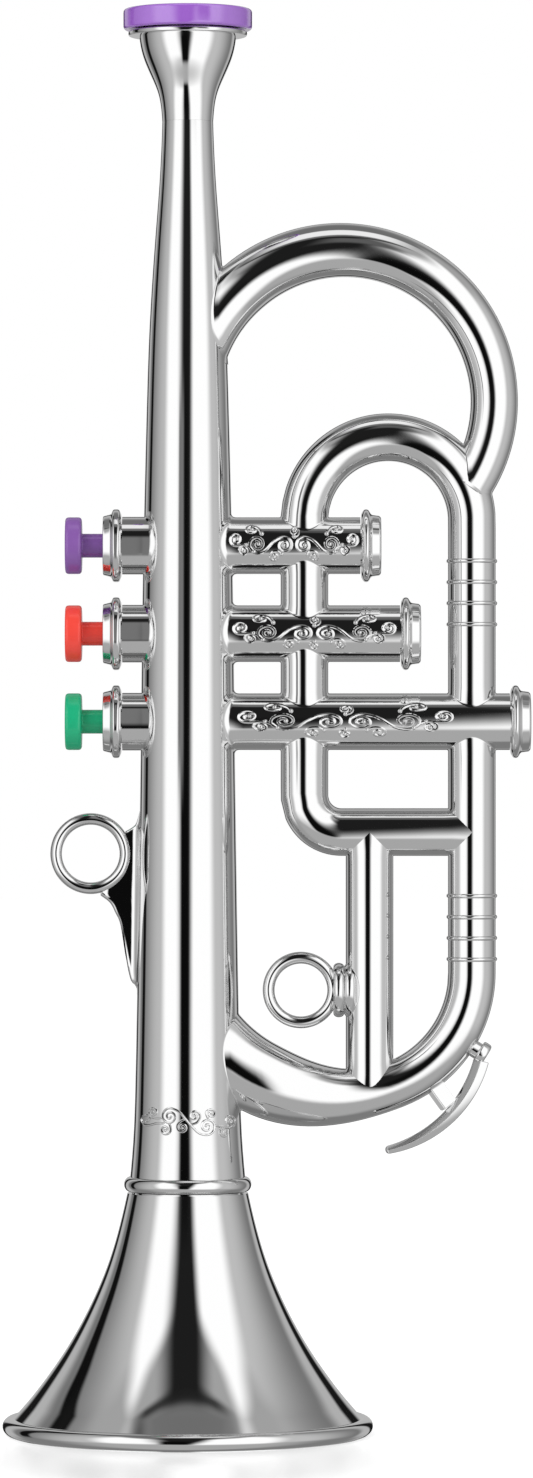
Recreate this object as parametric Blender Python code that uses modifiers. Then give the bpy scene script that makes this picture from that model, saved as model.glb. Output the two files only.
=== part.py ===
"""A toy trumpet: hollow chrome-plated tubes, three push keys, and a reed block inside.

Lengths are in metres and +Z is up. The trumpet stands on its bell. The origin is on the
floor under the middle of the whole outline, and the main tube's axis stands at AXIS_X.
Places written as x are measured from the main tube's axis, and the tubes lie in the XZ plane.
"""

import math

import bmesh
import bpy
from mathutils import Matrix, Vector

MM = 0.001

# Whole instrument
WALL = 1.6 * MM                 # wall of every moulded tube
FIT = 0.3 * MM                  # gap between two seated or glued pieces
RUN = 0.3 * MM                  # running gap round what slides
OVERRUN = 3.0 * MM              # how far a cutter passes the piece that it cuts

# Heights from the floor up, each counted from the one before
BEAD_RING_Z = 64.9 * MM         # bead ring over the joint of the bell and the main tube
LEG_FOOT_RISE = 54.9 * MM       # to where the right leg starts to bend
LEVEL_RISE = 36.5 * MM          # to the level tube
LOW_VALVE_RISE = 28.7 * MM      # to the lowest valve
VALVE_COUNT = 3
VALVE_PITCH = 22.85 * MM
LOOP_TOP_RISE = 6.6 * MM        # from the top valve to the centre of the loop's half circle
UPPER_BOW_RISE = 30.8 * MM      # to the centre of the upper bow
NECK_RISE = 72.7 * MM           # to the top of the main tube
CUP_H = 21.9 * MM               # cup of the mouthpiece, up to its flange
CUP_FLANGE_T = 1.3 * MM
RIM_T = 5.4 * MM

# Main tube
TUBE_FOOT_R = 14.95 * MM
NECK_R = 6.6 * MM

# Bell
BELL_R = 48.1 * MM
RIM_BEAD_D = 4.4 * MM           # rolled edge of the bell
RIM_FLAT = 1.4 * MM             # width of the flat ring that the trumpet stands on
FLARE_FOOT_INSET = 5.4 * MM     # from the bell's edge in to the foot of the flare
FLARE_FOOT_R = BELL_R - FLARE_FOOT_INSET
FLARE_FOOT_Z = 7.0 * MM
BELL_NECK_STEP = 0.75 * MM      # how far the bell's neck stands out from the foot of the main tube
BELL_NECK_R = TUBE_FOOT_R + BELL_NECK_STEP
BELL_SLEEVE_L = 10.0 * MM       # sleeve that reaches up into the main tube

# Height share from the neck of the bell down to its foot, and share of the growth in radius
FLARE_SHARES = [(0.0, 0.0), (0.12, 0.055), (0.22, 0.11), (0.31, 0.167), (0.40, 0.237), (0.49, 0.32),
                (0.585, 0.415), (0.68, 0.525), (0.77, 0.64), (0.86, 0.775), (0.95, 0.91), (1.0, 1.0)]

# Bead ring
BEAD_RING_H = 3.9 * MM
BEAD_RING_BULGE = 1.61 * MM     # how far it stands out from the foot of the main tube
BEAD_RING_R = TUBE_FOOT_R + BEAD_RING_BULGE
SEAT_STEP = 0.75 * MM           # how deep the ring is let into the tube

# Height share from the foot of the main tube up to the neck, and share of the foot's extra radius
TUBE_SHARES = [(0.0, 1.0), (0.025, 0.925), (0.055, 0.87), (0.17, 0.79), (0.36, 0.695), (0.56, 0.615),
               (0.66, 0.545), (0.75, 0.468), (0.80, 0.41), (0.85, 0.315), (0.90, 0.195), (0.94, 0.09),
               (0.98, 0.02), (1.0, 0.0)]
BORE_FOOT_SHARE = 0.055         # the bore runs straight below this share of the height

# Mouthpiece
RIM_BORE_R = 9.4 * MM
RIM_SPIGOT_WALL = 1.2 * MM      # spigot of the rim, in the cup's mouth
RIM_SPIGOT_L = 2.6 * MM
CUP_MOUTH_R = RIM_BORE_R + RIM_SPIGOT_WALL + FIT
CUP_MOUTH_WALL = 1.65 * MM
CUP_R = CUP_MOUTH_R + CUP_MOUTH_WALL
CUP_FLANGE_W = 2.85 * MM
CUP_FLANGE_R = CUP_R + CUP_FLANGE_W
RIM_OVERHANG = 1.3 * MM         # of the rim over the flange
RIM_R = CUP_FLANGE_R + RIM_OVERHANG
CUP_DEPTH = 11.0 * MM           # bowl, from the spigot of the rim down to the throat
THROAT_R = 2.6 * MM
SHANK_L = 9.0 * MM              # shank inside the main tube
RIM_EDGE = 0.9 * MM             # rounding of the outer edges
RIM_LIP = 2.2 * MM              # rounding of the inner edge, where the lips go

# Height share from the neck up to the flange, and share of the growth in radius
CUP_SHARES = [(0.0, 0.0), (0.11, 0.03), (0.23, 0.085), (0.35, 0.195), (0.465, 0.37), (0.58, 0.565),
              (0.70, 0.755), (0.815, 0.89), (0.93, 0.975), (1.0, 1.0)]

# Valves: the keys and collars on the left and the casings on the right share three axes
SOCKET_R = 7.5 * MM
SOCKET_REACH = 17.0 * MM        # from the main tube's axis to the end of a socket
COLLAR_BEAD_RISE = 1.94 * MM    # how far the bead stands out from the socket
COLLAR_BEAD_W = 2.4 * MM
COLLAR_CONE_RISE = 1.0 * MM     # cone beside the bead, at its root
COLLAR_MOUTH_RISE = 0.1 * MM    # and at its mouth
COLLAR_CONE_L = 2.3 * MM
COLLAR_RECESS = 1.3 * MM        # shallow counterbore in the mouth
COLLAR_WEB_T = 1.6 * MM         # web that guides the stem
SPIGOT_L = 3.5 * MM             # spigot of a collar or a cap inside its tube
SPIGOT_WALL = 0.8 * MM
CASING_R = 7.37 * MM
CASING_OVERHANGS = [19.9 * MM, 30.2 * MM, 15.2 * MM]    # from the leg of the loop to the end of the cap
CAP_BEAD_RISE = 2.07 * MM       # how far the bead stands out from the casing
CAP_BEAD_W = 2.4 * MM
CAP_WAIST_RISE = 0.63 * MM      # between the bead and the end disc
CAP_WAIST_W = 0.5 * MM
CAP_END_RISE = 0.53 * MM
CAP_END_W = 2.2 * MM
CAP_EDGE = 0.8 * MM

# Keys
KEY_TRAVEL = 4.0 * MM
KEY_CAP_R = 7.37 * MM
KEY_CAP_T = 4.8 * MM
KEY_CAP_EDGE = 0.9 * MM
KEY_SPARE = 1.0 * MM            # left between cap and collar when the key is down
STEM_R = 3.1 * MM
STOP_FLANGE_T = 1.2 * MM
ROD_R = 1.2 * MM
PAD_R = 3.3 * MM
PAD_T = 1.2 * MM
ROD_HEAD_R = 2.2 * MM
ROD_HEAD_T = 0.6 * MM
SPRING_WIRE_D = 0.7 * MM
SPRING_TURNS = 4.5
SPRING_GAP = 0.1 * MM           # between the spring's ends and what they press on

# Reed block
BLOCK_HALF_SHARE = 0.69         # of the room inside the main tube: half the block's depth
BLOCK_WALL = 1.4 * MM
CHANNEL_W = 1.8 * MM            # wind channel
PORT_WALL = 1.2 * MM            # wall with the ports
PORT_R = 2.1 * MM
RIB_T = 4.8 * MM                # between two reed chambers
BLOCK_DISC_T = 2.0 * MM
CHAMBER_DEPTH_SHARE = 0.78      # of the block's depth
GASKET_T = 0.8 * MM
PLATE_T = 1.2 * MM
PLATE_DEPTH_SHARE = 0.84        # of the block's depth
REED_T = 0.5 * MM
REED_W = 3.4 * MM
REED_L = 14.0 * MM
REED_ROOT_L = 4.0 * MM          # thicker root that is riveted to the plate
REED_ROOT_T = 1.0 * MM
SLOT_SPARE = 0.4 * MM           # the slot under a tongue is narrower by this
SCREW_R = 0.8 * MM
SCREW_HEAD_R = 1.5 * MM
SCREW_HEAD_T = 0.8 * MM
SCREW_GRIP = 2.0 * MM           # length of screw in the block

# Inner loop
LOOP_R = 6.2 * MM               # outer radius of the loop's tube
LOOP_LEFT_X = 30.3 * MM
LOOP_RIGHT_X = 73.8 * MM
CORNER_BEND = 9.6 * MM
DROP_X = 47.2 * MM

# Upper bow, from over the main tube's axis to over the loop's right leg
UPPER_BOW_LEFT_X = 0.8 * MM
UPPER_BOW_OVERHANG = 5.8 * MM   # past the right leg
UPPER_BOW_ROOT_R = 7.4 * MM
UPPER_BOW_TIP_R = 6.15 * MM
UPPER_BOW_START_ANGLE = 162.0   # degrees, where it leaves the main tube
UPPER_BOW_TAPER_ANGLES = (130.0, 5.0)
UPPER_BOW_END_ANGLE = -34.0     # where it meets the loop

# Bottom bow
TIGHT_BEND = 31.0 * MM
TIGHT_TURN_ANGLE = 65.0         # degrees of the tight bend
BOTTOM_BOW_END_X = 5.055 * MM   # its end, inside the main tube
BOTTOM_BOW_END_ANGLE = -142.0
BOTTOM_BOW_ROOT_R = 9.7 * MM
BOTTOM_BOW_FLARE_ANGLES = (-70.0, -118.0)

# Thumb ring on the left
THUMB_X = -25.2 * MM
THUMB_DROP = 5.6 * MM           # from the level tube's height down to the ring's centre
THUMB_RING_R = 9.0 * MM
THUMB_WIRE_R = 1.5 * MM
WEB_T = 2.4 * MM
WEB_DROP = 34.3 * MM            # from the ring's centre down to the web's lower tip
WEB_ARC_ANGLES = (24.0, -76.0)  # the stretch of the ring that the web joins

# Share of the way from the ring's centre to the tube's axis, and share of the drop
WEB_LOWER_SHARES = [(0.10, 0.315), (0.20, 0.372), (0.255, 0.45), (0.305, 0.54), (0.357, 0.77), (0.41, 0.95),
                    (0.46, 1.0)]
WEB_UPPER_SHARES = [(0.485, -0.265), (0.46, -0.22), (0.41, -0.19), (0.357, -0.17)]
WEB_ROOT_SHARE = 0.60           # how far the web reaches into the tube before it is cut

# Finger ring on the drop tube
FINGER_REACH = 17.8 * MM        # from the drop tube's axis to the ring's centre
FINGER_DROP = 4.5 * MM          # from the leg's foot down to the ring's centre
FINGER_RING_R = 8.4 * MM
FINGER_WIRE_R = 1.55 * MM
FINGER_BEAD_R = 7.1 * MM
FINGER_BEAD_W = 2.85 * MM
FINGER_BEAD_WAIST = 1.0 * MM    # how much thinner the neck is between the beads

# Water key on the bottom bow
WATER_KEY_ANGLE = -32.0         # degrees round the tight bend
WATER_BOSS_R = 2.2 * MM
WATER_DISC_R = 3.1 * MM
WATER_DISC_T = 2.1 * MM
WATER_STAND = 3.8 * MM          # from the bow's skin to the outer face of the disc
LEVER_SPARE = 1.1 * MM          # how much wider than the bow's bend the lever's is
LEVER_SHIFT = 2.4 * MM          # from the bend's centre to the lever's centre, along X
LEVER_DROP = 14.6 * MM          # and down
LEVER_ARC_ANGLES = (-15.0, -79.0)
LEVER_ROOT_W = 4.0 * MM
LEVER_TIP_W = 1.9 * MM
LEVER_DEPTH = 6.0 * MM
POST_ANGLE = -54.0
POST_W = 4.1 * MM

# Facets
MAIN_SIDES = 24
BELL_SIDES = 32
TUBE_SIDES = 14
BORE_SIDES = 8
SMALL_SIDES = 18
FINE_SIDES = 8
COIL_POINTS = 8                 # points to each turn of a spring
BEND_STEP_ANGLE = 10.0          # degrees between the points of a bend
LOOP_STEP_ANGLE = 12.0
CORNER_STEP_ANGLE = 15.0
WEB_STEP_ANGLE = 20.0
MERGE = 0.00001

# Heights and places that follow from the sizes above
LEG_FOOT_Z = BEAD_RING_Z + LEG_FOOT_RISE
LEVEL_Z = LEG_FOOT_Z + LEVEL_RISE
TOP_VALVE_Z = LEVEL_Z + LOW_VALVE_RISE + VALVE_PITCH * (VALVE_COUNT - 1)
LOOP_TOP_Z = TOP_VALVE_Z + LOOP_TOP_RISE
UPPER_BOW_Z = LOOP_TOP_Z + UPPER_BOW_RISE
NECK_Z = UPPER_BOW_Z + NECK_RISE
HEIGHT = NECK_Z + FIT + CUP_H + CUP_FLANGE_T + FIT + RIM_T
CASING_REACHES = [leg + overhang for leg, overhang
                  in zip((LOOP_LEFT_X, LOOP_LEFT_X, LOOP_RIGHT_X), CASING_OVERHANGS)]
AXIS_X = (BELL_R - CASING_REACHES[-1]) / 2
UPPER_BOW_BEND = (LOOP_RIGHT_X + UPPER_BOW_OVERHANG - UPPER_BOW_LEFT_X) / 2
UPPER_BOW_X = UPPER_BOW_LEFT_X + UPPER_BOW_BEND
TURN_COSINE = math.cos(math.radians(TIGHT_TURN_ANGLE))
END_COSINE = math.cos(math.radians(BOTTOM_BOW_END_ANGLE))
WIDE_BEND = (LOOP_RIGHT_X - TIGHT_BEND * (1 - TURN_COSINE) - BOTTOM_BOW_END_X) / (TURN_COSINE - END_COSINE)
THUMB_Z = LEVEL_Z - THUMB_DROP
FINGER_X = DROP_X - FINGER_REACH
FINGER_Z = LEG_FOOT_Z - FINGER_DROP
WATER_REACH = TIGHT_BEND + LOOP_R + WATER_STAND
LEVER_BEND = TIGHT_BEND + LEVER_SPARE

FINISHES = {
    "chrome": ((0.80, 0.80, 0.81), 1.0, 0.08),
    "purple": ((0.38, 0.16, 0.62), 0.0, 0.3),
    "red": ((0.86, 0.06, 0.04), 0.0, 0.3),
    "green": ((0.01, 0.45, 0.20), 0.0, 0.3),
    "ivory": ((0.80, 0.76, 0.66), 0.0, 0.5),
    "rubber": ((0.05, 0.05, 0.05), 0.0, 0.8),
    "brass": ((0.78, 0.57, 0.23), 1.0, 0.3),
    "steel": ((0.60, 0.60, 0.62), 1.0, 0.25),
}


def between(shares, share):
    """Read a table of shares at any place along it."""
    for (low, low_value), (high, high_value) in zip(shares, shares[1:]):
        if share <= high:
            return low_value + (high_value - low_value) * (share - low) / (high - low)
    return shares[-1][1]


def smooth(share):
    """Ease a share from 0 to 1 in and out."""
    share = min(1.0, max(0.0, share))
    return share * share * (3 - 2 * share)


TUBE_FOOT_Z = BEAD_RING_Z + BEAD_RING_H / 2


def tube_radius(height):
    """Outer radius of the main tube."""
    share = (height - TUBE_FOOT_Z) / (NECK_Z - TUBE_FOOT_Z)
    return NECK_R + (TUBE_FOOT_R - NECK_R) * between(TUBE_SHARES, share)


def valve_height(number):
    """Height of a valve's axis, counted from 0 at the top."""
    return TOP_VALVE_Z - VALVE_PITCH * number


# Sizes that follow from the ones above
CASING_BORE_R = CASING_R - WALL
SOCKET_BORE_R = SOCKET_R - WALL
COLLAR_BEAD_R = SOCKET_R + COLLAR_BEAD_RISE
COLLAR_CONE_R = SOCKET_R + COLLAR_CONE_RISE
COLLAR_MOUTH_R = SOCKET_R + COLLAR_MOUTH_RISE
CAP_BEAD_R = CASING_R + CAP_BEAD_RISE
CAP_WAIST_R = CASING_R + CAP_WAIST_RISE
CAP_END_R = CASING_R + CAP_END_RISE
COLLAR_SPIGOT_R = SOCKET_BORE_R - FIT
COLLAR_SPIGOT_BORE_R = COLLAR_SPIGOT_R - SPIGOT_WALL
STOP_FLANGE_R = COLLAR_SPIGOT_BORE_R - RUN
SPRING_R = STOP_FLANGE_R - SPRING_WIRE_D / 2
COLLAR_FOOT_X = -SOCKET_REACH - FIT
COLLAR_MOUTH_X = COLLAR_FOOT_X - COLLAR_BEAD_W - COLLAR_CONE_L
COLLAR_WEB_X = COLLAR_MOUTH_X + COLLAR_RECESS + COLLAR_WEB_T
STOP_FLANGE_X = COLLAR_WEB_X + RUN
KEY_CAP_X = COLLAR_MOUTH_X - KEY_SPARE - KEY_TRAVEL
BLOCK_TOP_Z = valve_height(0) + VALVE_PITCH / 2 + BLOCK_WALL
BLOCK_FOOT_Z = valve_height(VALVE_COUNT - 1) - VALVE_PITCH / 2 - BLOCK_WALL
ROOM_R = tube_radius(BLOCK_TOP_Z + BLOCK_DISC_T) - WALL - FIT
BLOCK_HALF = ROOM_R * BLOCK_HALF_SHARE
BLOCK_LEFT_X = -BLOCK_HALF
PORT_WALL_X = BLOCK_LEFT_X + BLOCK_WALL + CHANNEL_W
CHAMBER_X = PORT_WALL_X + PORT_WALL
PAD_X = CHAMBER_X + FIT
ROD_HEAD_X = PAD_X + PAD_T + FIT
PLATE_X = ROD_HEAD_X + ROD_HEAD_T + KEY_TRAVEL + RUN
GASKET_X = PLATE_X - FIT - GASKET_T
BLOCK_RIGHT_X = GASKET_X - FIT
REED_X = PLATE_X + PLATE_T + FIT
CHAMBER_HALF = BLOCK_HALF * CHAMBER_DEPTH_SHARE
PLATE_HALF = BLOCK_HALF * PLATE_DEPTH_SHARE


def fresh_collection(name):
    """Make an empty collection in the scene."""
    collection = bpy.data.collections.new(name)
    bpy.context.scene.collection.children.link(collection)
    return collection


def make_finish(name):
    """Principled material for one of the finishes."""
    colour, metallic, roughness = FINISHES[name]
    material = bpy.data.materials.new(name)
    material.use_nodes = True
    shader = material.node_tree.nodes["Principled BSDF"]
    shader.inputs["Base Color"].default_value = (*colour, 1.0)
    shader.inputs["Metallic"].default_value = metallic
    shader.inputs["Roughness"].default_value = roughness
    material.diffuse_color = (*colour, 1.0)
    return material


for old in list(bpy.data.objects):
    bpy.data.objects.remove(old, do_unlink=True)
PARTS = fresh_collection("toy_trumpet")
CUTTERS = fresh_collection("toy_trumpet_cutters")
MATERIALS = {name: make_finish(name) for name in FINISHES}


def at(x, z, y=0.0):
    """Point at a distance from the main tube's axis and a height."""
    return Vector((AXIS_X + x, y, z))


def keep(obj, finish):
    """Give a piece its finish and smooth shading, and file it with the parts."""
    PARTS.objects.link(obj)
    obj.data.materials.append(MATERIALS[finish])
    obj.data.shade_smooth()
    obj.data.set_sharp_from_angle(angle=math.radians(40.0))
    return obj


def as_cutter(obj):
    """File a shape with the cutters, out of the render."""
    CUTTERS.objects.link(obj)
    obj.hide_render = True
    obj.display_type = "WIRE"
    return obj


def combine(target, other, operation, solver="EXACT"):
    """Boolean of two meshes, as a live modifier."""
    modifier = target.modifiers.new(f"{operation.lower()} {other.name}", "BOOLEAN")
    modifier.object = other
    modifier.operation = operation
    modifier.solver = solver


def cut(target, *cutters, solver="EXACT"):
    """Take shapes away from a piece."""
    for cutter in cutters:
        combine(target, cutter, "DIFFERENCE", solver)


def join(target, *others):
    """Melt shapes into a piece."""
    for other in others:
        combine(target, other, "UNION")


def from_bmesh(name, mesh):
    """New object from a bmesh, which is freed."""
    data = bpy.data.meshes.new(name)
    mesh.to_mesh(data)
    mesh.free()
    return bpy.data.objects.new(name, data)


def rod(name, start, end, radius, sides=SMALL_SIDES, end_radius=None):
    """Straight round bar or cone between two points."""
    line = end - start
    mesh = bmesh.new()
    bmesh.ops.create_cone(mesh, cap_ends=True, segments=sides, radius1=radius,
                          radius2=radius if end_radius is None else end_radius, depth=line.length)
    obj = from_bmesh(name, mesh)
    obj.location = (start + end) / 2
    obj.rotation_euler = line.to_track_quat("Z", "Y").to_euler()
    return obj


def box(name, low, high):
    """Box between two corners."""
    mesh = bmesh.new()
    size = high - low
    bmesh.ops.create_cube(mesh, size=1.0, matrix=Matrix.Diagonal((*size, 1.0)))
    obj = from_bmesh(name, mesh)
    obj.location = (low + high) / 2
    return obj


def turned(name, profile, centre, axis="Z", sides=SMALL_SIDES, closed=True):
    """Turn a profile of (radius, height) points, which runs down its outer side, about an axis."""
    mesh = bmesh.new()
    verts = [mesh.verts.new((radius, 0.0, height)) for radius, height in profile]
    for first, second in zip(verts, verts[1:]):
        mesh.edges.new((first, second))
    if closed:
        mesh.edges.new((verts[-1], verts[0]))
    obj = from_bmesh(name, mesh)
    screw = obj.modifiers.new("turn", "SCREW")
    screw.steps = sides
    screw.render_steps = sides
    screw.use_merge_vertices = True
    screw.merge_threshold = MERGE
    screw.use_smooth_shade = False
    obj.location = centre
    if axis == "X":
        obj.rotation_euler = (0.0, math.pi / 2, 0.0)
    if axis == "Y":
        obj.rotation_euler = (-math.pi / 2, 0.0, 0.0)
    return obj


def arc(centre_x, centre_z, radius, start, end, step=BEND_STEP_ANGLE):
    """Points along an arc in the XZ plane, angles in degrees."""
    count = max(1, round(abs(end - start) / step))
    points = []
    for index in range(count + 1):
        angle = math.radians(start + (end - start) * index / count)
        points.append(at(centre_x + radius * math.cos(angle), centre_z + radius * math.sin(angle)))
    return points


def bent_tube(name, points, radii, sides):
    """Solid bent bar along points, each with its radius, as a mesh with welded caps."""
    curve = bpy.data.curves.new(name, "CURVE")
    curve.dimensions = "3D"
    curve.bevel_depth = 1.0
    curve.bevel_resolution = (sides - 4) // 2
    curve.use_fill_caps = True
    spline = curve.splines.new("POLY")
    spline.points.add(len(points) - 1)
    for spot, point, radius in zip(spline.points, points, radii):
        spot.co = (*point, 1.0)
        spot.radius = radius
    rail = bpy.data.objects.new(name, curve)
    CUTTERS.objects.link(rail)
    bpy.context.view_layer.update()
    evaluated = rail.evaluated_get(bpy.context.evaluated_depsgraph_get())
    data = bpy.data.meshes.new_from_object(evaluated)
    bpy.data.objects.remove(rail, do_unlink=True)
    mesh = bmesh.new()
    mesh.from_mesh(data)
    bmesh.ops.remove_doubles(mesh, verts=mesh.verts, dist=MERGE)
    bmesh.ops.recalc_face_normals(mesh, faces=mesh.faces)
    return from_bmesh(name, mesh)


def extended(points, length):
    """The same path with both ends run on, for a bore that cuts right through."""
    first = points[0] + (points[0] - points[1]).normalized() * length
    last = points[-1] + (points[-1] - points[-2]).normalized() * length
    return [first, *points, last]


def flat_shape(name, outline, thickness):
    """Extrude an outline in the XZ plane to both sides of it."""
    curve = bpy.data.curves.new(name, "CURVE")
    curve.dimensions = "2D"
    curve.fill_mode = "BOTH"
    curve.extrude = thickness / 2
    spline = curve.splines.new("POLY")
    spline.points.add(len(outline) - 1)
    for spot, point in zip(spline.points, outline):
        spot.co = (point.x, point.z, 0.0, 1.0)
    spline.use_cyclic_u = True
    sheet = bpy.data.objects.new(name, curve)
    CUTTERS.objects.link(sheet)
    bpy.context.view_layer.update()
    evaluated = sheet.evaluated_get(bpy.context.evaluated_depsgraph_get())
    data = bpy.data.meshes.new_from_object(evaluated)
    bpy.data.objects.remove(sheet, do_unlink=True)
    mesh = bmesh.new()
    mesh.from_mesh(data)
    bmesh.ops.remove_doubles(mesh, verts=mesh.verts, dist=MERGE)
    bmesh.ops.rotate(mesh, verts=mesh.verts, matrix=Matrix.Rotation(math.pi / 2, 3, "X"))
    bmesh.ops.recalc_face_normals(mesh, faces=mesh.faces)
    return from_bmesh(name, mesh)


def half_space(side):
    """Everything on one side of the parting plane, with half the glue gap."""
    y_near = -side * FIT / 2
    y_far = side * HEIGHT
    low = Vector((-HEIGHT, min(y_near, y_far), -HEIGHT))
    high = Vector((HEIGHT, max(y_near, y_far), HEIGHT * 2))
    return as_cutter(box("rear_space" if side > 0 else "front_space", low, high))


REAR_SPACE = half_space(1)
FRONT_SPACE = half_space(-1)


def halves(name, outer, bore, cutters):
    """A hollow moulding as two glued half shells, front and rear."""
    for word, waste in (("front", REAR_SPACE), ("rear", FRONT_SPACE)):
        shell = keep(bpy.data.objects.new(f"{name}_{word}", outer.data.copy()), "chrome")
        # The flared walls are not flat-faced, and the exact solver leaves tears in them
        cut(shell, waste, bore, *cutters, solver="MANIFOLD")
    bpy.data.objects.remove(outer, do_unlink=True)


def main_tube_profile(grow, foot_share=0.0):
    """Outline of the main tube from the neck down, grown or shrunk by a length."""
    span = NECK_Z - TUBE_FOOT_Z
    points = []
    for height_share, radius_share in reversed(TUBE_SHARES):
        if height_share >= foot_share:
            radius = NECK_R + (TUBE_FOOT_R - NECK_R) * radius_share
            points.append((radius + grow, TUBE_FOOT_Z + span * height_share))
    return points


SEAT_R = TUBE_FOOT_R - SEAT_STEP
TUBE_BORE_R = main_tube_profile(-WALL, BORE_FOOT_SHARE)[-1][0]


def solid_main_tube(name, grow):
    """The main tube as one solid, its foot stepped in under the bead ring."""
    profile = [(0.0, NECK_Z), *main_tube_profile(grow)]
    profile.append((SEAT_R + grow, profile[-1][1]))
    profile.append((SEAT_R + grow, BEAD_RING_Z + FIT / 2))
    profile.append((0.0, BEAD_RING_Z + FIT / 2))
    return turned(name, profile, at(0.0, 0.0), sides=MAIN_SIDES, closed=False)


# What a neighbour of the main tube is cut back to
BESIDE_MAIN_TUBE = as_cutter(solid_main_tube("beside_main_tube", FIT))


def main_tube():
    """Two half shells with the three key sockets."""
    bore_profile = main_tube_profile(-WALL, BORE_FOOT_SHARE)
    bore_profile[0] = (bore_profile[0][0], NECK_Z + OVERRUN)
    bore = as_cutter(turned("main_tube_bore", [
        (0.0, NECK_Z + OVERRUN), *bore_profile,
        (TUBE_BORE_R, BEAD_RING_Z - OVERRUN), (0.0, BEAD_RING_Z - OVERRUN),
    ], at(0.0, 0.0), sides=MAIN_SIDES, closed=False))
    sockets = []
    socket_bores = []
    for number in range(VALVE_COUNT):
        z = valve_height(number)
        sockets.append(as_cutter(rod(f"socket_{number + 1}", at(-SOCKET_REACH, z), at(0.0, z), SOCKET_R)))
        socket_bores.append(as_cutter(rod(f"socket_bore_{number + 1}", at(-SOCKET_REACH - OVERRUN, z),
                                          at(0.0, z), SOCKET_BORE_R)))
    for word, waste in (("front", REAR_SPACE), ("rear", FRONT_SPACE)):
        shell = keep(solid_main_tube(f"main_tube_{word}", 0.0), "chrome")
        join(shell, *sockets)
        cut(shell, bore, *socket_bores, waste)


def mouthpiece():
    """Turned cup with its shank, and the coloured rim that seats in the cup's mouth."""
    cup_foot = NECK_Z + FIT
    flange_foot = cup_foot + CUP_H
    flange_top = flange_foot + CUP_FLANGE_T
    bowl_top = flange_top - RIM_SPIGOT_L - FIT
    shank_r = NECK_R - WALL - FIT
    profile = [(CUP_FLANGE_R, flange_top), (CUP_FLANGE_R, flange_foot)]
    for height_share, radius_share in reversed(CUP_SHARES):
        radius = NECK_R + (CUP_R - NECK_R) * radius_share
        profile.append((radius, cup_foot + CUP_H * height_share))
    profile += [(shank_r, cup_foot), (shank_r, NECK_Z - SHANK_L), (THROAT_R, NECK_Z - SHANK_L)]
    for step in range(0, 91, 30):
        angle = math.radians(step)
        profile.append((THROAT_R + (CUP_MOUTH_R - THROAT_R) * math.sin(angle),
                        bowl_top - CUP_DEPTH * math.cos(angle)))
    profile.append((CUP_MOUTH_R, flange_top))
    keep(turned("mouthpiece_cup", profile, at(0.0, 0.0), sides=MAIN_SIDES), "chrome")

    rim_foot = flange_top + FIT
    profile = []
    for step in range(90, -1, -45):
        angle = math.radians(step)
        profile.append((RIM_R - RIM_EDGE + RIM_EDGE * math.cos(angle),
                        HEIGHT - RIM_EDGE + RIM_EDGE * math.sin(angle)))
    for step in range(0, -91, -45):
        angle = math.radians(step)
        profile.append((RIM_R - RIM_EDGE + RIM_EDGE * math.cos(angle),
                        rim_foot + RIM_EDGE + RIM_EDGE * math.sin(angle)))
    spigot_r = CUP_MOUTH_R - FIT
    profile += [(spigot_r, rim_foot), (spigot_r, flange_top - RIM_SPIGOT_L),
                (RIM_BORE_R, flange_top - RIM_SPIGOT_L)]
    for step in range(180, 89, -30):
        angle = math.radians(step)
        profile.append((RIM_BORE_R + RIM_LIP + RIM_LIP * math.cos(angle),
                        HEIGHT - RIM_LIP + RIM_LIP * math.sin(angle)))
    keep(turned("mouthpiece_rim", profile, at(0.0, 0.0), sides=MAIN_SIDES), "purple")


def bell_outline():
    """Outer side of the bell from its neck down to the rolled edge."""
    neck_z = BEAD_RING_Z - BEAD_RING_H / 2 - FIT
    points = []
    for height_share, radius_share in FLARE_SHARES:
        points.append((BELL_NECK_R + (FLARE_FOOT_R - BELL_NECK_R) * radius_share,
                       neck_z + (FLARE_FOOT_Z - neck_z) * height_share))
    return points


def inset(points, depth):
    """Move an outline inwards by a wall, square to its own run."""
    moved = []
    for index, (radius, height) in enumerate(points):
        before = points[max(0, index - 1)]
        after = points[min(len(points) - 1, index + 1)]
        run = Vector((after[0] - before[0], after[1] - before[1])).normalized()
        moved.append((radius + run.y * depth, height - run.x * depth))
    return moved


def bell():
    """Flared bell with a rolled edge, a flat foot ring and a sleeve for the main tube."""
    outer = bell_outline()
    bead_r = RIM_BEAD_D / 2
    bead_x = BELL_R - bead_r
    rolled = []
    for step in range(105, -46, -50):
        angle = math.radians(step)
        rolled.append((bead_x + bead_r * math.cos(angle), bead_r + bead_r * math.sin(angle)))
    rolled += [(bead_x + RIM_FLAT / 2, 0.0), (bead_x - RIM_FLAT / 2, 0.0)]
    for step in range(225, 164, -60):
        angle = math.radians(step)
        rolled.append((bead_x + bead_r * math.cos(angle), bead_r + bead_r * math.sin(angle)))
    inner = inset(outer[::2] + outer[-1:], WALL)
    sleeve_r = TUBE_BORE_R - FIT
    sleeve_bore_r = sleeve_r - WALL
    joint_z = BEAD_RING_Z - FIT / 2
    profile = [(sleeve_r, BEAD_RING_Z + BELL_SLEEVE_L), (sleeve_r, joint_z), (SEAT_R, joint_z),
               (SEAT_R, outer[0][1]), *outer, *rolled, *reversed(inner[1:]),
               (sleeve_bore_r, joint_z - BEAD_RING_H), (sleeve_bore_r, BEAD_RING_Z + BELL_SLEEVE_L)]
    keep(turned("bell", profile, at(0.0, 0.0), sides=BELL_SIDES), "chrome")


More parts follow.
